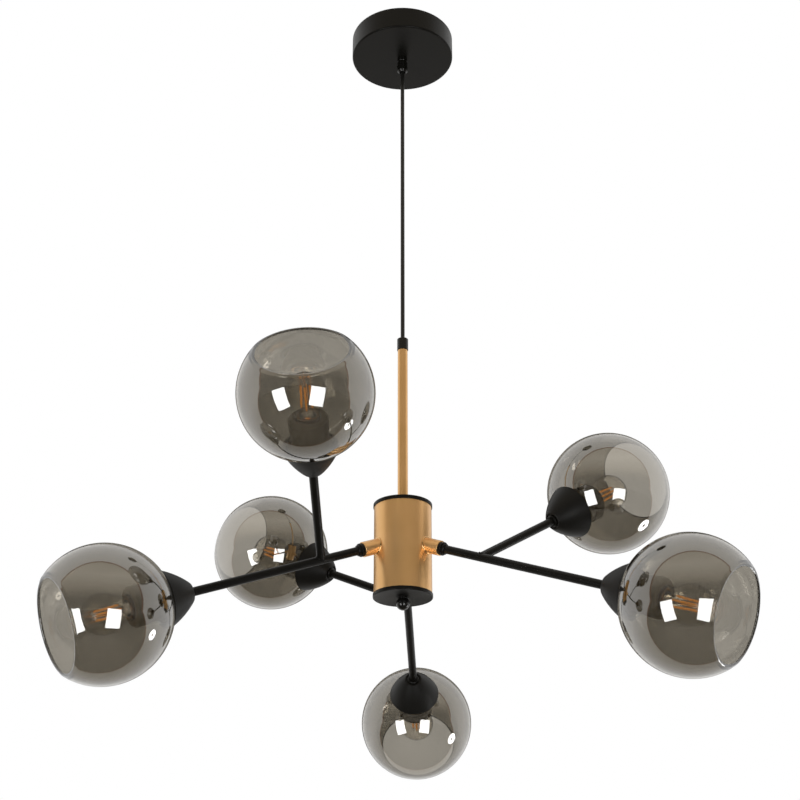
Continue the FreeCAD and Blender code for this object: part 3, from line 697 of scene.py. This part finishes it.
def hub_shell(arm_axes):
    """The gold tube with its brazed stubs; a proud bead of filler runs round each stub's root."""
    inner = HUB_RADIUS - HUB_WALL
    tube = eased(
        [
            (inner, SHELL_FOOT),
            (HUB_RADIUS, SHELL_FOOT, 0.3),
            (HUB_RADIUS, SHELL_TOP, 0.3),
            (inner, SHELL_TOP),
        ]
    )
    stub = eased(
        [
            (SNUG, STUB_ROOT),
            (STUB_RADIUS, STUB_ROOT),
            (STUB_RADIUS, STUB_REACH, 0.5),
            (SNUG, STUB_REACH, 0.3),
        ]
    )
    parts = [turned("hub_tube", tube, 160)]
    centre = Vector((0, 0, ARM_LINE * MM))
    for axis in arm_axes:
        bm = bmesh.new()
        spin(bm, stub, 72, facing(centre, axis))
        parts.append(mesh_of("hub_stub", bm))
    piece("gold_hub", fused("gold_hub", parts), GOLD, "fixture", ["hub_shell"])
    bm = bmesh.new()
    dice = random.Random(4)
    for axis in arm_axes:
        line = seam(axis, centre, STUB_RADIUS, HUB_RADIUS, 96)
        # the bead's middle stands 0.12 mm clear of both surfaces, and its radius wanders a little
        path = [spot + (wall + out) * 0.12 * MM for spot, wall, out in line]
        sweep(bm, path, [1.05 + 0.07 * dice.random() for _ in path], sides=14, closed=True)
    # the beads wear the paler brass: the braze's colour with a painted highlight
    piece("brazed_seams", mesh_of("brazed_seams", bm, 60), BRAZE_AND_HIGHLIGHT, "fixture")


def hub_caps():
    """The two black discs that close the hub, each with a lip inside the tube."""
    lip = HUB_RADIUS - HUB_WALL - 0.2
    for name, node_name, seat, sense, hole in (
        ("top_cap", "hub_top_cap", SHELL_TOP, 1, ROD_RADIUS + 0.05),
        ("bottom_cap", "hub_bottom_cap", SHELL_FOOT, -1, CLEAR_HOLE),
    ):
        outside, lip_end = seat + sense * CAP_THICKNESS, seat - sense * CAP_LIP
        outline = eased(
            [
                (hole, outside, 0.3),
                (CAP_RADIUS, outside, 1.0),
                (CAP_RADIUS, seat, 0.25),
                (lip, seat),
                (lip, lip_end),
                (lip - 2, lip_end),
                (lip - 2, seat),
                (hole, seat),
            ],
            steps=6,
            margin=0.6,
        )
        cap = turned(name, outline, 128)
        piece(name, cap, BLACK, "fixture", [node_name])


def finial():
    """The ball under the hub on its short collar."""
    foot = SHELL_FOOT - CAP_THICKNESS
    neck = foot - COLLAR_HEIGHT
    middle = neck - math.sqrt(BALL_RADIUS**2 - COLLAR_RADIUS**2)
    bottom = (0.0, middle - BALL_RADIUS)
    outline = [bottom]
    outline += bow(bottom, (BALL_RADIUS, middle), BALL_RADIUS, 16)[1:]
    outline += bow((BALL_RADIUS, middle), (COLLAR_RADIUS, neck), BALL_RADIUS, 9)
    outline += [(COLLAR_RADIUS, neck), (COLLAR_RADIUS, foot - 0.2), (COLLAR_RADIUS - 0.2, foot)]
    outline += [(SNUG, foot), (SNUG, foot - 8.3), (0.0, foot - 8.3)]
    ball = turned("ball_finial", outline, 64)
    piece("ball_finial", ball, BALL_BLACK, "fixture", ["finial"])


# --- arms ---

TUBE_RADIUS, TUBE_BORE = 5.0, 4.0
ARM_START, BRANCH_START = 45.0, 113.5
MAIN_REACH, BRANCH_REACH = 380.0, 222.0
GLOBE_RADIUS, GLOBE_WALL = 75.0, 2.5
MOUTH, NECK_HOLE = 52.5, 21.0
CUP_RIM, CUP_END, CUP_LENGTH = 32.5, 10.75, 33.4
# the parts that clamp the glass are drawn this far off it
GLASS_GAP = 0.3
RIM = -math.sqrt(GLOBE_RADIUS**2 - CUP_RIM**2) - GLASS_GAP
CUP_FOOT = RIM - CUP_LENGTH
TUBE_END = CUP_FOOT + 0.3 + 5.5


def tube_outline(start, end):
    """A straight tube's outline with eased ends."""
    return eased(
        [(TUBE_BORE, start), (TUBE_RADIUS, start, 0.2), (TUBE_RADIUS, end, 0.2), (TUBE_BORE, end)]
    )


def branch_seam(along, out, steps):
    """The saddle where the branch meets the equal main tube, in metres from the hub's axis."""
    side = out.cross(along).normalized()
    other = out.cross(side)
    start = along * BRANCH_START * MM
    points = []
    for step in range(steps):
        turn = 2 * math.pi * step / steps
        rim = (side * math.cos(turn) + other * math.sin(turn)) * TUBE_RADIUS * MM
        flat_rim, flat_out = rim - along * rim.dot(along), out - along * out.dot(along)
        reach = farther_root(
            flat_out.dot(flat_out),
            2 * flat_rim.dot(flat_out),
            flat_rim.dot(flat_rim) - (TUBE_RADIUS * MM) ** 2,
        )
        points.append(start + rim + out * reach)
    return points


def arm(letter, main_axis, branch_axis):
    """The black main tube with its branch, the weld between them and the collar by the stub."""
    centre = Vector((0, 0, ARM_LINE * MM))
    body = f"arm_{letter}"
    tubes = []
    for name, foot, axis, start, end in (
        ("main_tube", centre, main_axis, ARM_START, MAIN_REACH),
        ("branch_tube", centre + main_axis * BRANCH_START * MM, branch_axis, 0.0, BRANCH_REACH),
    ):
        bm = bmesh.new()
        spin(bm, tube_outline(start, end + TUBE_END), 48, facing(foot, axis))
        tubes.append(mesh_of(name, bm))
    both = fused(f"arm_tubes_{letter}", tubes)
    piece(f"arm_tubes_{letter}", both, BLACK, body, [body])
    line = [centre + spot for spot in branch_seam(main_axis, branch_axis, 72)]
    dice = random.Random(ord(letter))
    # stacked weld ripples, one to every four points, about 2 mm apart
    ripples = []
    for i in range(len(line)):
        ripples.append(0.95 + 0.14 * math.sin(2 * math.pi * i / 4) + 0.08 * dice.random())
    bm = bmesh.new()
    sweep(bm, line, ripples, sides=12, closed=True)
    weld = mesh_of(f"weld_bead_{letter}", bm, 60)
    piece(f"weld_bead_{letter}", weld, BLACK, body)
    seat = STUB_REACH + 0.2
    outline = eased(
        [
            (SNUG, seat),
            (8.0, seat, 0.4),
            (8.0, seat + 4.0, 0.4),
            (6.5, seat + 4.0, 0.25),
            (6.5, seat + 6.5, 0.2),
            (5.5, seat + 7.5, 0.2),
            (SNUG, seat + 7.5),
        ]
    )
    ring, nodes = turned(f"lock_ring_{letter}", outline, 64), [f"lock_collar_{letter}"]
    place = facing(centre, main_axis)
    piece(f"lock_ring_{letter}", ring, BLACK, body, nodes, place)


# --- lamps ---

# the radii that the bell's wall and the lampholder's dome are curved to
CUP_BOW, DOME_BOW = 102.0, 39.4
# the cup's inner floor, and the shelf that its nut sits against
CUP_FLOOR, SHELF = CUP_FOOT + 3.0, CUP_FOOT + 1.5
# how high the globe's mouth is rounded
LIP = 1.2
HOLDER_RADIUS, HOLDER_FRONT = 19.7, -31.0
BULB_RADIUS, BULB_CENTRE, BULB_WALL = 22.5, 1.0, 0.8
CAP_TOP = -27.0
FILAMENT_LOW, FILAMENT_HIGH = -19.0, 11.0
FILAMENT_CIRCLE_LOW, FILAMENT_CIRCLE_HIGH = 6.0, 4.6
WIRE_RADIUS = 0.22


def sphere_height(radius, out):
    """How far behind its centre a sphere is at a distance out from its axis."""
    return -math.sqrt(radius**2 - out**2)


def cup_outline():
    """The bell's wall, with the recess for its nut."""
    inner_rim = sphere_height(GLOBE_RADIUS, CUP_RIM - 1.5) - GLASS_GAP
    outer = bow((CUP_END, CUP_FOOT), (CUP_RIM, RIM), CUP_BOW, 26)
    inner = bow((CUP_RIM - 1.5, inner_rim), (10.65, CUP_FLOOR), -CUP_BOW, 20)
    corner = [(8.75, CUP_FOOT, 0.25), (CUP_END, CUP_FOOT, 2.2), outer[5]]
    shoulder = eased(corner, steps=6, margin=0.2)
    return [
        (SNUG, SHELF),
        (8.75, SHELF),
        *shoulder[:-1],
        *[point for point in outer if point[1] > shoulder[-2][1] + 0.8],
        (CUP_RIM - 0.1, RIM - 0.35),
        (CUP_RIM - 0.35, RIM - 0.08),
        (CUP_RIM - 1.2, inner_rim - 0.02),
        *inner,
        (10.65, CUP_FLOOR),
        (SNUG, CUP_FLOOR),
    ]


def globe_outline():
    """The blown wall between a ground neck and a fire-polished mouth, which is full round."""
    inner = GLOBE_RADIUS - GLOBE_WALL
    outer_mouth = (math.sqrt(GLOBE_RADIUS**2 - MOUTH**2), MOUTH)
    inner_mouth = (math.sqrt(inner**2 - MOUTH**2), MOUTH)
    neck_out = (NECK_HOLE, sphere_height(GLOBE_RADIUS, NECK_HOLE))
    neck_in = (NECK_HOLE, sphere_height(inner, NECK_HOLE))
    outside = bow(neck_out, (GLOBE_RADIUS, 0.0), GLOBE_RADIUS, 34)
    outside += bow((GLOBE_RADIUS, 0.0), outer_mouth, GLOBE_RADIUS, 24)
    inside = bow(inner_mouth, (inner, 0.0), -inner, 24) + bow((inner, 0.0), neck_in, -inner, 34)
    lip = (Vector(outer_mouth) + Vector(inner_mouth)) / 2
    half = (outer_mouth[0] - inner_mouth[0]) / 2
    polished = []
    for step in range(1, 9):
        turn = math.pi * step / 9
        polished.append((lip.x + half * math.cos(turn), lip.y - LIP + LIP * math.sin(turn)))
    outside, inside = ([p for p in side if p[1] < MOUTH - LIP] for side in (outside, inside))
    return [*outside, *polished, *inside, neck_in]


def holder_outline():
    """The lampholder: neck, dome, flange behind the glass, and the skirt with its well."""
    seat = sphere_height(GLOBE_RADIUS, NECK_HOLE) - GLASS_GAP
    return [
        (SNUG, CUP_FLOOR),
        (9.0, CUP_FLOOR),
        *bow((9.0, CUP_FLOOR + 8), (HOLDER_RADIUS, seat - 4), DOME_BOW, 8),
        *eased(
            [
                (HOLDER_RADIUS, seat - 4, 0.4),
                (HOLDER_RADIUS, seat - 2),
                (24.5, seat - 2, 0.4),
                (24.5, seat, 0.3),
                (HOLDER_RADIUS, seat),
                (HOLDER_RADIUS, HOLDER_FRONT, 0.6),
                (13.85, HOLDER_FRONT, 0.4),
                (13.85, -60.0),
                (2.5, -60.0),
                (2.5, TUBE_END + 0.3),
                (SNUG, TUBE_END + 0.3),
            ]
        ),
    ]


def ring_outline():
    """The shade ring: flange on the glass, sleeve, a grooved band and a bevelled lip."""
    bore, sleeve, flange = HOLDER_RADIUS + 0.3, 21.2, 25.75
    band, groove = 22.5, 22.1
    front = HOLDER_FRONT + 1.5
    foot = sphere_height(GLOBE_RADIUS - GLOBE_WALL, flange) + GLASS_GAP
    step = front - 16.0
    return eased(
        [
            (bore, foot),
            (flange, foot, 0.3),
            (flange, foot + 2.4, 0.7),
            (sleeve, foot + 2.4, 0.5),
            (sleeve, step, 0.3),
            (band, step, 0.5),
            (band, front - 8.6, 0.2),
            (groove, front - 8.2, 0.15),
            (groove, front - 7.6, 0.15),
            (band, front - 7.2, 0.2),
            (band, front - 2.5, 0.6),
            (bore, front, 0.6),
            (15.05, front, 0.4),
            (15.05, front - 1.2),
            (bore, front - 1.2),
        ],
        steps=4,
    )


def nut_outline():
    """The round nut behind the cup."""
    back = SHELF - 3
    return eased(
        [(SNUG, back, 0.2), (6.4, back, 0.25), (7.4, back + 1, 0.25), (7.4, SHELF), (SNUG, SHELF)]
    )


def at_cap(*rows):
    """Points given by radius and by height from the top of the bulb's cap."""
    return [(radius, CAP_TOP + height) for radius, height in rows]


def bulb_outline():
    """The golf-ball envelope, drawn in to its neck in one smooth sweep."""
    tip = (0.0, BULB_CENTRE + BULB_RADIUS)
    widest = (BULB_RADIUS, BULB_CENTRE)
    neck = at_cap((13.2, 0.0), (13.35, 1.5), (14.0, 4.5), (15.2, 8.0), (16.8, 11.5), (18.3, 14.2))
    ball = bow((19.6, BULB_CENTRE - 11.0), widest, BULB_RADIUS, 8)
    ball += bow(widest, tip, BULB_RADIUS, 22)[:-1]
    outside = neck + ball
    inside = []
    for radius, height in outside:
        # above 12 mm the wall lies over its inside, so the inside is lowered too
        drop = BULB_WALL * 0.6 if height > 12 else 0.0
        inside.append((radius - BULB_WALL * 0.8, height - drop))
    return [tip, *reversed(outside), *inside, (0.0, tip[1] - BULB_WALL)]


def screw_wave(pitch, depth, low, high):
    """A rolled screw thread between two heights, faded out at its ends."""

    def wave(angle, height):
        if not low < height < high:
            return 0.0
        fade = min(1.0, (height - low) / 2, (high - height) / 2)
        return depth * fade * math.sin(2 * math.pi * height / pitch - angle)

    return wave


def bulb_cap_mesh(name):
    """The screw cap: a rolled shell with its thread, an insulator's taper and the contact."""
    collar = at_cap((0.0, -0.3), (11.5, -0.3), (13.2, -0.35), (13.25, -1.2), (12.9, -2.2))
    rolled = [(12.45, CAP_TOP - 3 - 0.3 * i) for i in range(64)]
    foot = at_cap((11.6, -22.6), (9.4, -24.2), (4.6, -26.6), (4.4, -28.2), (3.2, -28.5))
    end = at_cap((0.0, -28.5))
    thread = screw_wave(pitch=3.6, depth=0.75, low=CAP_TOP - 21.8, high=CAP_TOP - 3.2)
    return turned(name, collar + rolled + foot + end, 64, wave=thread)


def mount_mesh(name):
    """The glass mount in the bulb: a flared foot drawn up into a thin rod with a bead on top."""
    foot = at_cap((0.0, 0.2), (9.5, 0.2), (9.0, 1.2), (5.6, 3.4), (3.4, 6.5), (2.8, 10.0))
    rod = at_cap((2.4, 13.0), (1.3, 15.5), (1.1, 20))
    bead = [(1.1, 10.6), (1.7, 11.6), (1.9, 12.4), (1.5, 13.3), (0.0, 13.8)]
    return turned(name, foot + rod + bead, 32)


def up(height):
    """A step along +Z of a height in millimetres."""
    return Vector((0, 0, height * MM))


def filament_ends(index):
    """One of the four filaments: which way out it stands, and its foot and head in metres."""
    turn = math.pi / 2 * index
    out = Vector((math.cos(turn), math.sin(turn), 0))
    foot = out * FILAMENT_CIRCLE_LOW * MM + up(FILAMENT_LOW)
    head = out * FILAMENT_CIRCLE_HIGH * MM + up(FILAMENT_HIGH)
    return out, foot, head


def filament_mesh(name):
    """Four upright filament strips round the mount, leaning very slightly in at the top."""
    bm = bmesh.new()
    for index in range(4):
        _, foot, head = filament_ends(index)
        spots = [foot.lerp(head, i / 10) for i in range(11)]
        sweep(bm, spots, [0.75, *[1.15] * 9, 0.75])
    return mesh_of(name, bm, 50)


def support_mesh(name):
    """The nickel wires: hooks from the bead to the filaments' heads, and leads to their feet."""
    bm = bmesh.new()
    bead = up(12.4)
    for index in range(4):
        out, foot, head = filament_ends(index)
        arch = [bead + out * 1.0 * MM, bead + out * 2.6 * MM + up(1.1), head + up(1.6), head]
        sweep(bm, arch, [WIRE_RADIUS] * 4, sides=8)
        root = out * 2.6 * MM + up(CAP_TOP + 4.0)
        sweep(bm, [root, root.lerp(foot, 0.5) + up(-0.6), foot], [WIRE_RADIUS] * 3, sides=8)
        # a metal cap closes each end of a filament
        for spot, sense in ((head, 1), (foot, -1)):
            sweep(bm, [spot - up(sense * 0.9), spot + up(sense * 0.7)], [0.95] * 2)
    return mesh_of(name, bm, 50)


def lamp(letter, place_name, place):
    """Everything at the end of one tube, from the cup out to the bulb."""
    tag = f"{letter}_{place_name}"
    holding, turning = f"arm_{letter}", f"bulb_{tag}"

    def add(name, mesh, material, body, nodes=()):
        piece(f"{name}_{tag}", mesh, material, body, nodes, place)

    cup = turned("bell_cup", cup_outline(), 112)
    nut = turned("cup_nut", nut_outline(), 48)
    holder = turned("holder", holder_outline(), 96)
    ring = turned("shade_ring", ring_outline(), 96)
    globe = turned("glass_globe", globe_outline(), 128)
    envelope = turned("bulb_envelope", bulb_outline(), 80)
    # an arm's two nuts are one CAD node, and so are its two rings: the main lamp's stand for both
    nut_nodes, ring_nodes = [], []
    if place_name == "main":
        nut_nodes, ring_nodes = [f"cup_nuts_{letter}"], [f"shade_rings_{letter}"]
    add("bell_cup", cup, CUP_BLACK, holding, [f"cup_{tag}"])
    add("cup_nut", nut, BLACK, holding, nut_nodes)
    add("holder", holder, PHENOLIC, holding, [f"lampholder_{tag}"])
    add("shade_ring", ring, PHENOLIC, holding, ring_nodes)
    add("glass_globe", globe, SMOKED, holding, [f"globe_{tag}"])
    add("bulb_envelope", envelope, CLEAR, turning, [f"bulb_glass_{tag}"])
    add("bulb_cap", bulb_cap_mesh("bulb_cap"), BRASS, turning, [f"bulb_base_{tag}"])
    add("bulb_mount", mount_mesh("bulb_mount"), CLEAR, turning)
    add("bulb_filaments", filament_mesh("bulb_filaments"), AMBER, turning)
    add("bulb_wires", support_mesh("bulb_wires"), NICKEL, turning)


# --- the whole object ---

joints = {joint["name"]: joint for joint in frame["joints"]}
canopy()
cord_grip()
cable()
ferrule()
down_rod()
hub_caps()
finial()
axes = {letter: Vector(joints[f"arm_{letter}_swivel"]["axis"]) for letter in "abc"}
hub_shell(axes.values())
for letter, main_axis in axes.items():
    branch_axis = Vector(joints[f"bulb_{letter}_branch_unscrew"]["axis"])
    arm(letter, main_axis, branch_axis)
    for place_name in ("main", "branch"):
        screw = joints[f"bulb_{letter}_{place_name}_unscrew"]
        lamp(letter, place_name, facing(screw["pos_m"], screw["axis"]))

# pieces inside the canopy and the hub keep their CAD shape
for node_name, material in {
    "ceiling_bracket": ZINC,
    "canopy_nipple": ZINC,
    "nipple_nuts": ZINC,
    "coupler_nut": ZINC,
    "tie_rod": ZINC,
    "terminal_block": NYLON,
    "wire_connector": NYLON,
    "cable_tail": SHEATH,
}.items():
    inside = frame["nodes"][node_name].data
    inside.materials.clear()
    inside.materials.append(material)


# --- studio ---

FLOOR_HEIGHT, FLOOR_RADIUS = -2.4, 9.0
# the middle of the chandelier, which the lights face
MIDDLE = Vector((0, 0, -0.75))
# name, where it stands, its width and height in metres, and its power in watts
SOFTBOXES = (
    ("left_softbox", (-1.30, -1.52, -1.63), 0.78, 1.15, 16.0),
    ("right_softbox", (0.68, -1.85, -1.65), 0.84, 1.12, 16.0),
)
DISH_PLACE = Vector((1.11, 0.35, -1.38))
DISH_HOLE, DISH_RIM, DISH_DEPTH, DISH_WALL = 48.0, 170.0, 40.0, 2.0


def studio_floor():
    """A pale floor a room's height below the ceiling."""
    material, tree = new_material("pale_floor_paint")
    surface = add_node(tree, "BsdfPrincipled", {"Base Color": linear("#F2F1EE"), "Roughness": 0.8})
    # the camera sees the floor paler than it is lit, so no edge shows where it meets the white
    ray = add_node(tree, "LightPath")
    lift = add_node(tree, "Math", {0: ray.outputs["Is Camera Ray"], 1: 0.4}, operation="MULTIPLY")
    white = linear("#FFFFFF")
    veil = add_node(tree, "Emission", {"Color": white, "Strength": lift.outputs["Value"]})
    pale = add_node(tree, "AddShader", {0: surface.outputs["BSDF"], 1: veil.outputs["Emission"]})
    add_node(tree, "OutputMaterial", {"Surface": pale.outputs["Shader"]})
    bm = bmesh.new()
    bmesh.ops.create_circle(bm, cap_ends=True, segments=96, radius=FLOOR_RADIUS)
    place = Matrix.Translation((0, 0, FLOOR_HEIGHT))
    ground = put("studio_floor", mesh_of("studio_floor", bm), material, place)
    ground.visible_glossy = False


def studio_lights():
    """Two upright softboxes by the camera, and one round dish that only shiny things show."""
    for name, spot, width, height, power in SOFTBOXES:
        light = bpy.data.lights.new(name, "AREA")
        light.shape = "RECTANGLE"
        light.size, light.size_y = width, height
        light.energy = power
        softbox = bpy.data.objects.new(name, light)
        bpy.context.scene.collection.objects.link(softbox)
        softbox.location = spot
        softbox.rotation_euler = (MIDDLE - Vector(spot)).to_track_quat("-Z", "Y").to_euler()
        softbox.visible_camera = False
    material, tree = new_material("lit_dish")
    glow = add_node(tree, "Emission", {"Color": linear("#FFFFFF"), "Strength": 8.0})
    add_node(tree, "OutputMaterial", {"Surface": glow.outputs["Emission"]})
    outline = [
        (DISH_HOLE, 0.0),
        (DISH_RIM, DISH_DEPTH),
        (DISH_RIM, DISH_DEPTH + DISH_WALL),
        (DISH_HOLE, DISH_WALL),
    ]
    bm = bmesh.new()
    spin(bm, outline, 64)
    place = facing(DISH_PLACE, MIDDLE - DISH_PLACE)
    dish = put("round_dish", mesh_of("round_dish", bm), material, place)
    dish.visible_camera = False
    dish.visible_diffuse = False
    dish.visible_shadow = False


# what a row stands for, its place on the ramp and its colour
ROOM_TONES = (
    ("floor", 0.0, "#5A5348"),
    ("table height", 0.25, "#332F28"),
    ("eye height", 0.56, "#221F1A"),
    ("above the door", 0.64, "#6A6255"),
    ("upper wall", 0.74, "#BAAF9C"),
    ("ceiling", 0.88, "#E6DCCA"),
    ("overhead", 1.0, "#C6BBA8"),
)
BACKDROP_TONES = (
    ("edge line", 0.018, "#7A4426"),
    ("line ends", 0.03, "#EDEAE4"),
    ("far", 1.0, "#FFFFFF"),
)


def surroundings():
    """White to the camera and through glass; shiny things mirror a pale backdrop and a dim room."""
    world = bpy.data.worlds.new("studio_surroundings")
    bpy.context.scene.world = world
    world.use_nodes = True
    tree = world.node_tree
    tree.nodes.clear()
    ray = add_node(tree, "LightPath")
    way_in = add_node(tree, "TexCoord").outputs["Generated"]
    way = add_node(tree, "SeparateXYZ", {"Vector": way_in})
    # the room in front, from the floor up: dim, darkest at eye height, and paler to the ceiling
    up_or_down = way.outputs["Z"]
    height = add_node(tree, "MapRange", {"Value": up_or_down, "From Min": -1.0, "From Max": 1.0})
    room = add_node(tree, "ValToRGB", {"Fac": height.outputs["Result"]})
    # the white backdrop's edge runs overhead and comes forward below, where the floor sweep lies
    below = add_node(tree, "Math", {0: up_or_down, 1: -1.0}, operation="MULTIPLY")
    dip = add_node(tree, "Math", {0: below.outputs["Value"], 1: 0.0}, operation="MAXIMUM")
    edge = add_node(
        tree, "Math", {0: dip.outputs["Value"], 1: 0.95, 2: -0.27}, operation="MULTIPLY_ADD"
    )
    depth = add_node(
        tree, "Math", {0: way.outputs["Y"], 1: edge.outputs["Value"]}, operation="SUBTRACT"
    )
    backdrop = add_node(tree, "ValToRGB", {"Fac": depth.outputs["Value"]})
    for ramp, tones in ((room.color_ramp, ROOM_TONES), (backdrop.color_ramp, BACKDROP_TONES)):
        for _ in tones[2:]:
            ramp.elements.new(0.5)
        for element, (_, position, tone) in zip(ramp.elements, tones):
            element.position = position
            element.color = linear(tone)
    # the sweep's foot is less lit than the backdrop
    low = add_node(tree, "MapRange", {"Value": up_or_down, "From Min": -0.25, "From Max": -0.95})
    lit = add_node(
        tree,
        "Mix",
        {SHARE: low.outputs["Result"], FIRST: backdrop.outputs["Color"], SECOND: linear("#BDB8AF")},
        data_type="RGBA",
        blend_type="MULTIPLY",
    )
    past = add_node(
        tree, "MapRange", {"Value": depth.outputs["Value"], "From Min": -0.035, "From Max": -0.005}
    )
    around = add_node(
        tree,
        "Mix",
        {SHARE: past.outputs["Result"], FIRST: room.outputs["Color"], SECOND: lit.outputs[MIXED]},
        data_type="RGBA",
    )
    # behind the chandelier the backdrop is in shade, which draws a dark line round globes and rods
    ahead = add_node(
        tree, "VectorMath", {0: way_in, 1: (0.0, 0.904, 0.427)}, operation="DOT_PRODUCT"
    )
    shade = add_node(
        tree, "MapRange", {"Value": ahead.outputs["Value"], "From Min": 0.89, "From Max": 0.94}
    )
    mirrored = add_node(
        tree,
        "Mix",
        {SHARE: shade.outputs["Result"], FIRST: around.outputs[MIXED], SECOND: linear("#4A463F")},
        data_type="RGBA",
    )
    mirror_light = add_node(tree, "Background", {"Color": mirrored.outputs[MIXED], "Strength": 1.0})
    even = add_node(tree, "Background", {"Color": linear("#FFFFFF"), "Strength": 0.62})
    white = add_node(tree, "Background", {"Color": linear("#FFFFFF"), "Strength": 1.0})
    shiny = add_node(
        tree,
        "MixShader",
        {
            0: ray.outputs["Is Glossy Ray"],
            1: even.outputs["Background"],
            2: mirror_light.outputs["Background"],
        },
    )
    seen = add_node(
        tree,
        "Math",
        {0: ray.outputs["Is Camera Ray"], 1: ray.outputs["Is Transmission Ray"]},
        operation="MAXIMUM",
    )
    world_light = add_node(
        tree,
        "MixShader",
        {0: seen.outputs["Value"], 1: shiny.outputs["Shader"], 2: white.outputs["Background"]},
    )
    add_node(tree, "OutputWorld", {"Surface": world_light.outputs["Shader"]})


# where the photograph was taken from, in metres, and the camera's tilt up and turn, in degrees
EYE, TILT, TURN = (0.0, -1.6211, -1.3258), 25.25, 0.12
SENSOR_WIDTH, FOCAL_LENGTH = 36.0, 64.66


def camera():
    """The photograph's own view, from low in front and looking up."""
    lens = bpy.data.cameras.new("photo_camera")
    lens.sensor_width = SENSOR_WIDTH
    lens.lens = FOCAL_LENGTH
    lens.clip_start, lens.clip_end = 0.05, 50.0
    eye = bpy.data.objects.new("photo_camera", lens)
    bpy.context.scene.collection.objects.link(eye)
    eye.location = EYE
    eye.rotation_euler = (math.radians(90 + TILT), 0.0, math.radians(TURN))
    bpy.context.scene.camera = eye


studio_floor()
studio_lights()
surroundings()
camera()
bpy.context.scene.view_settings.view_transform = "Standard"
bpy.context.view_layer.update()
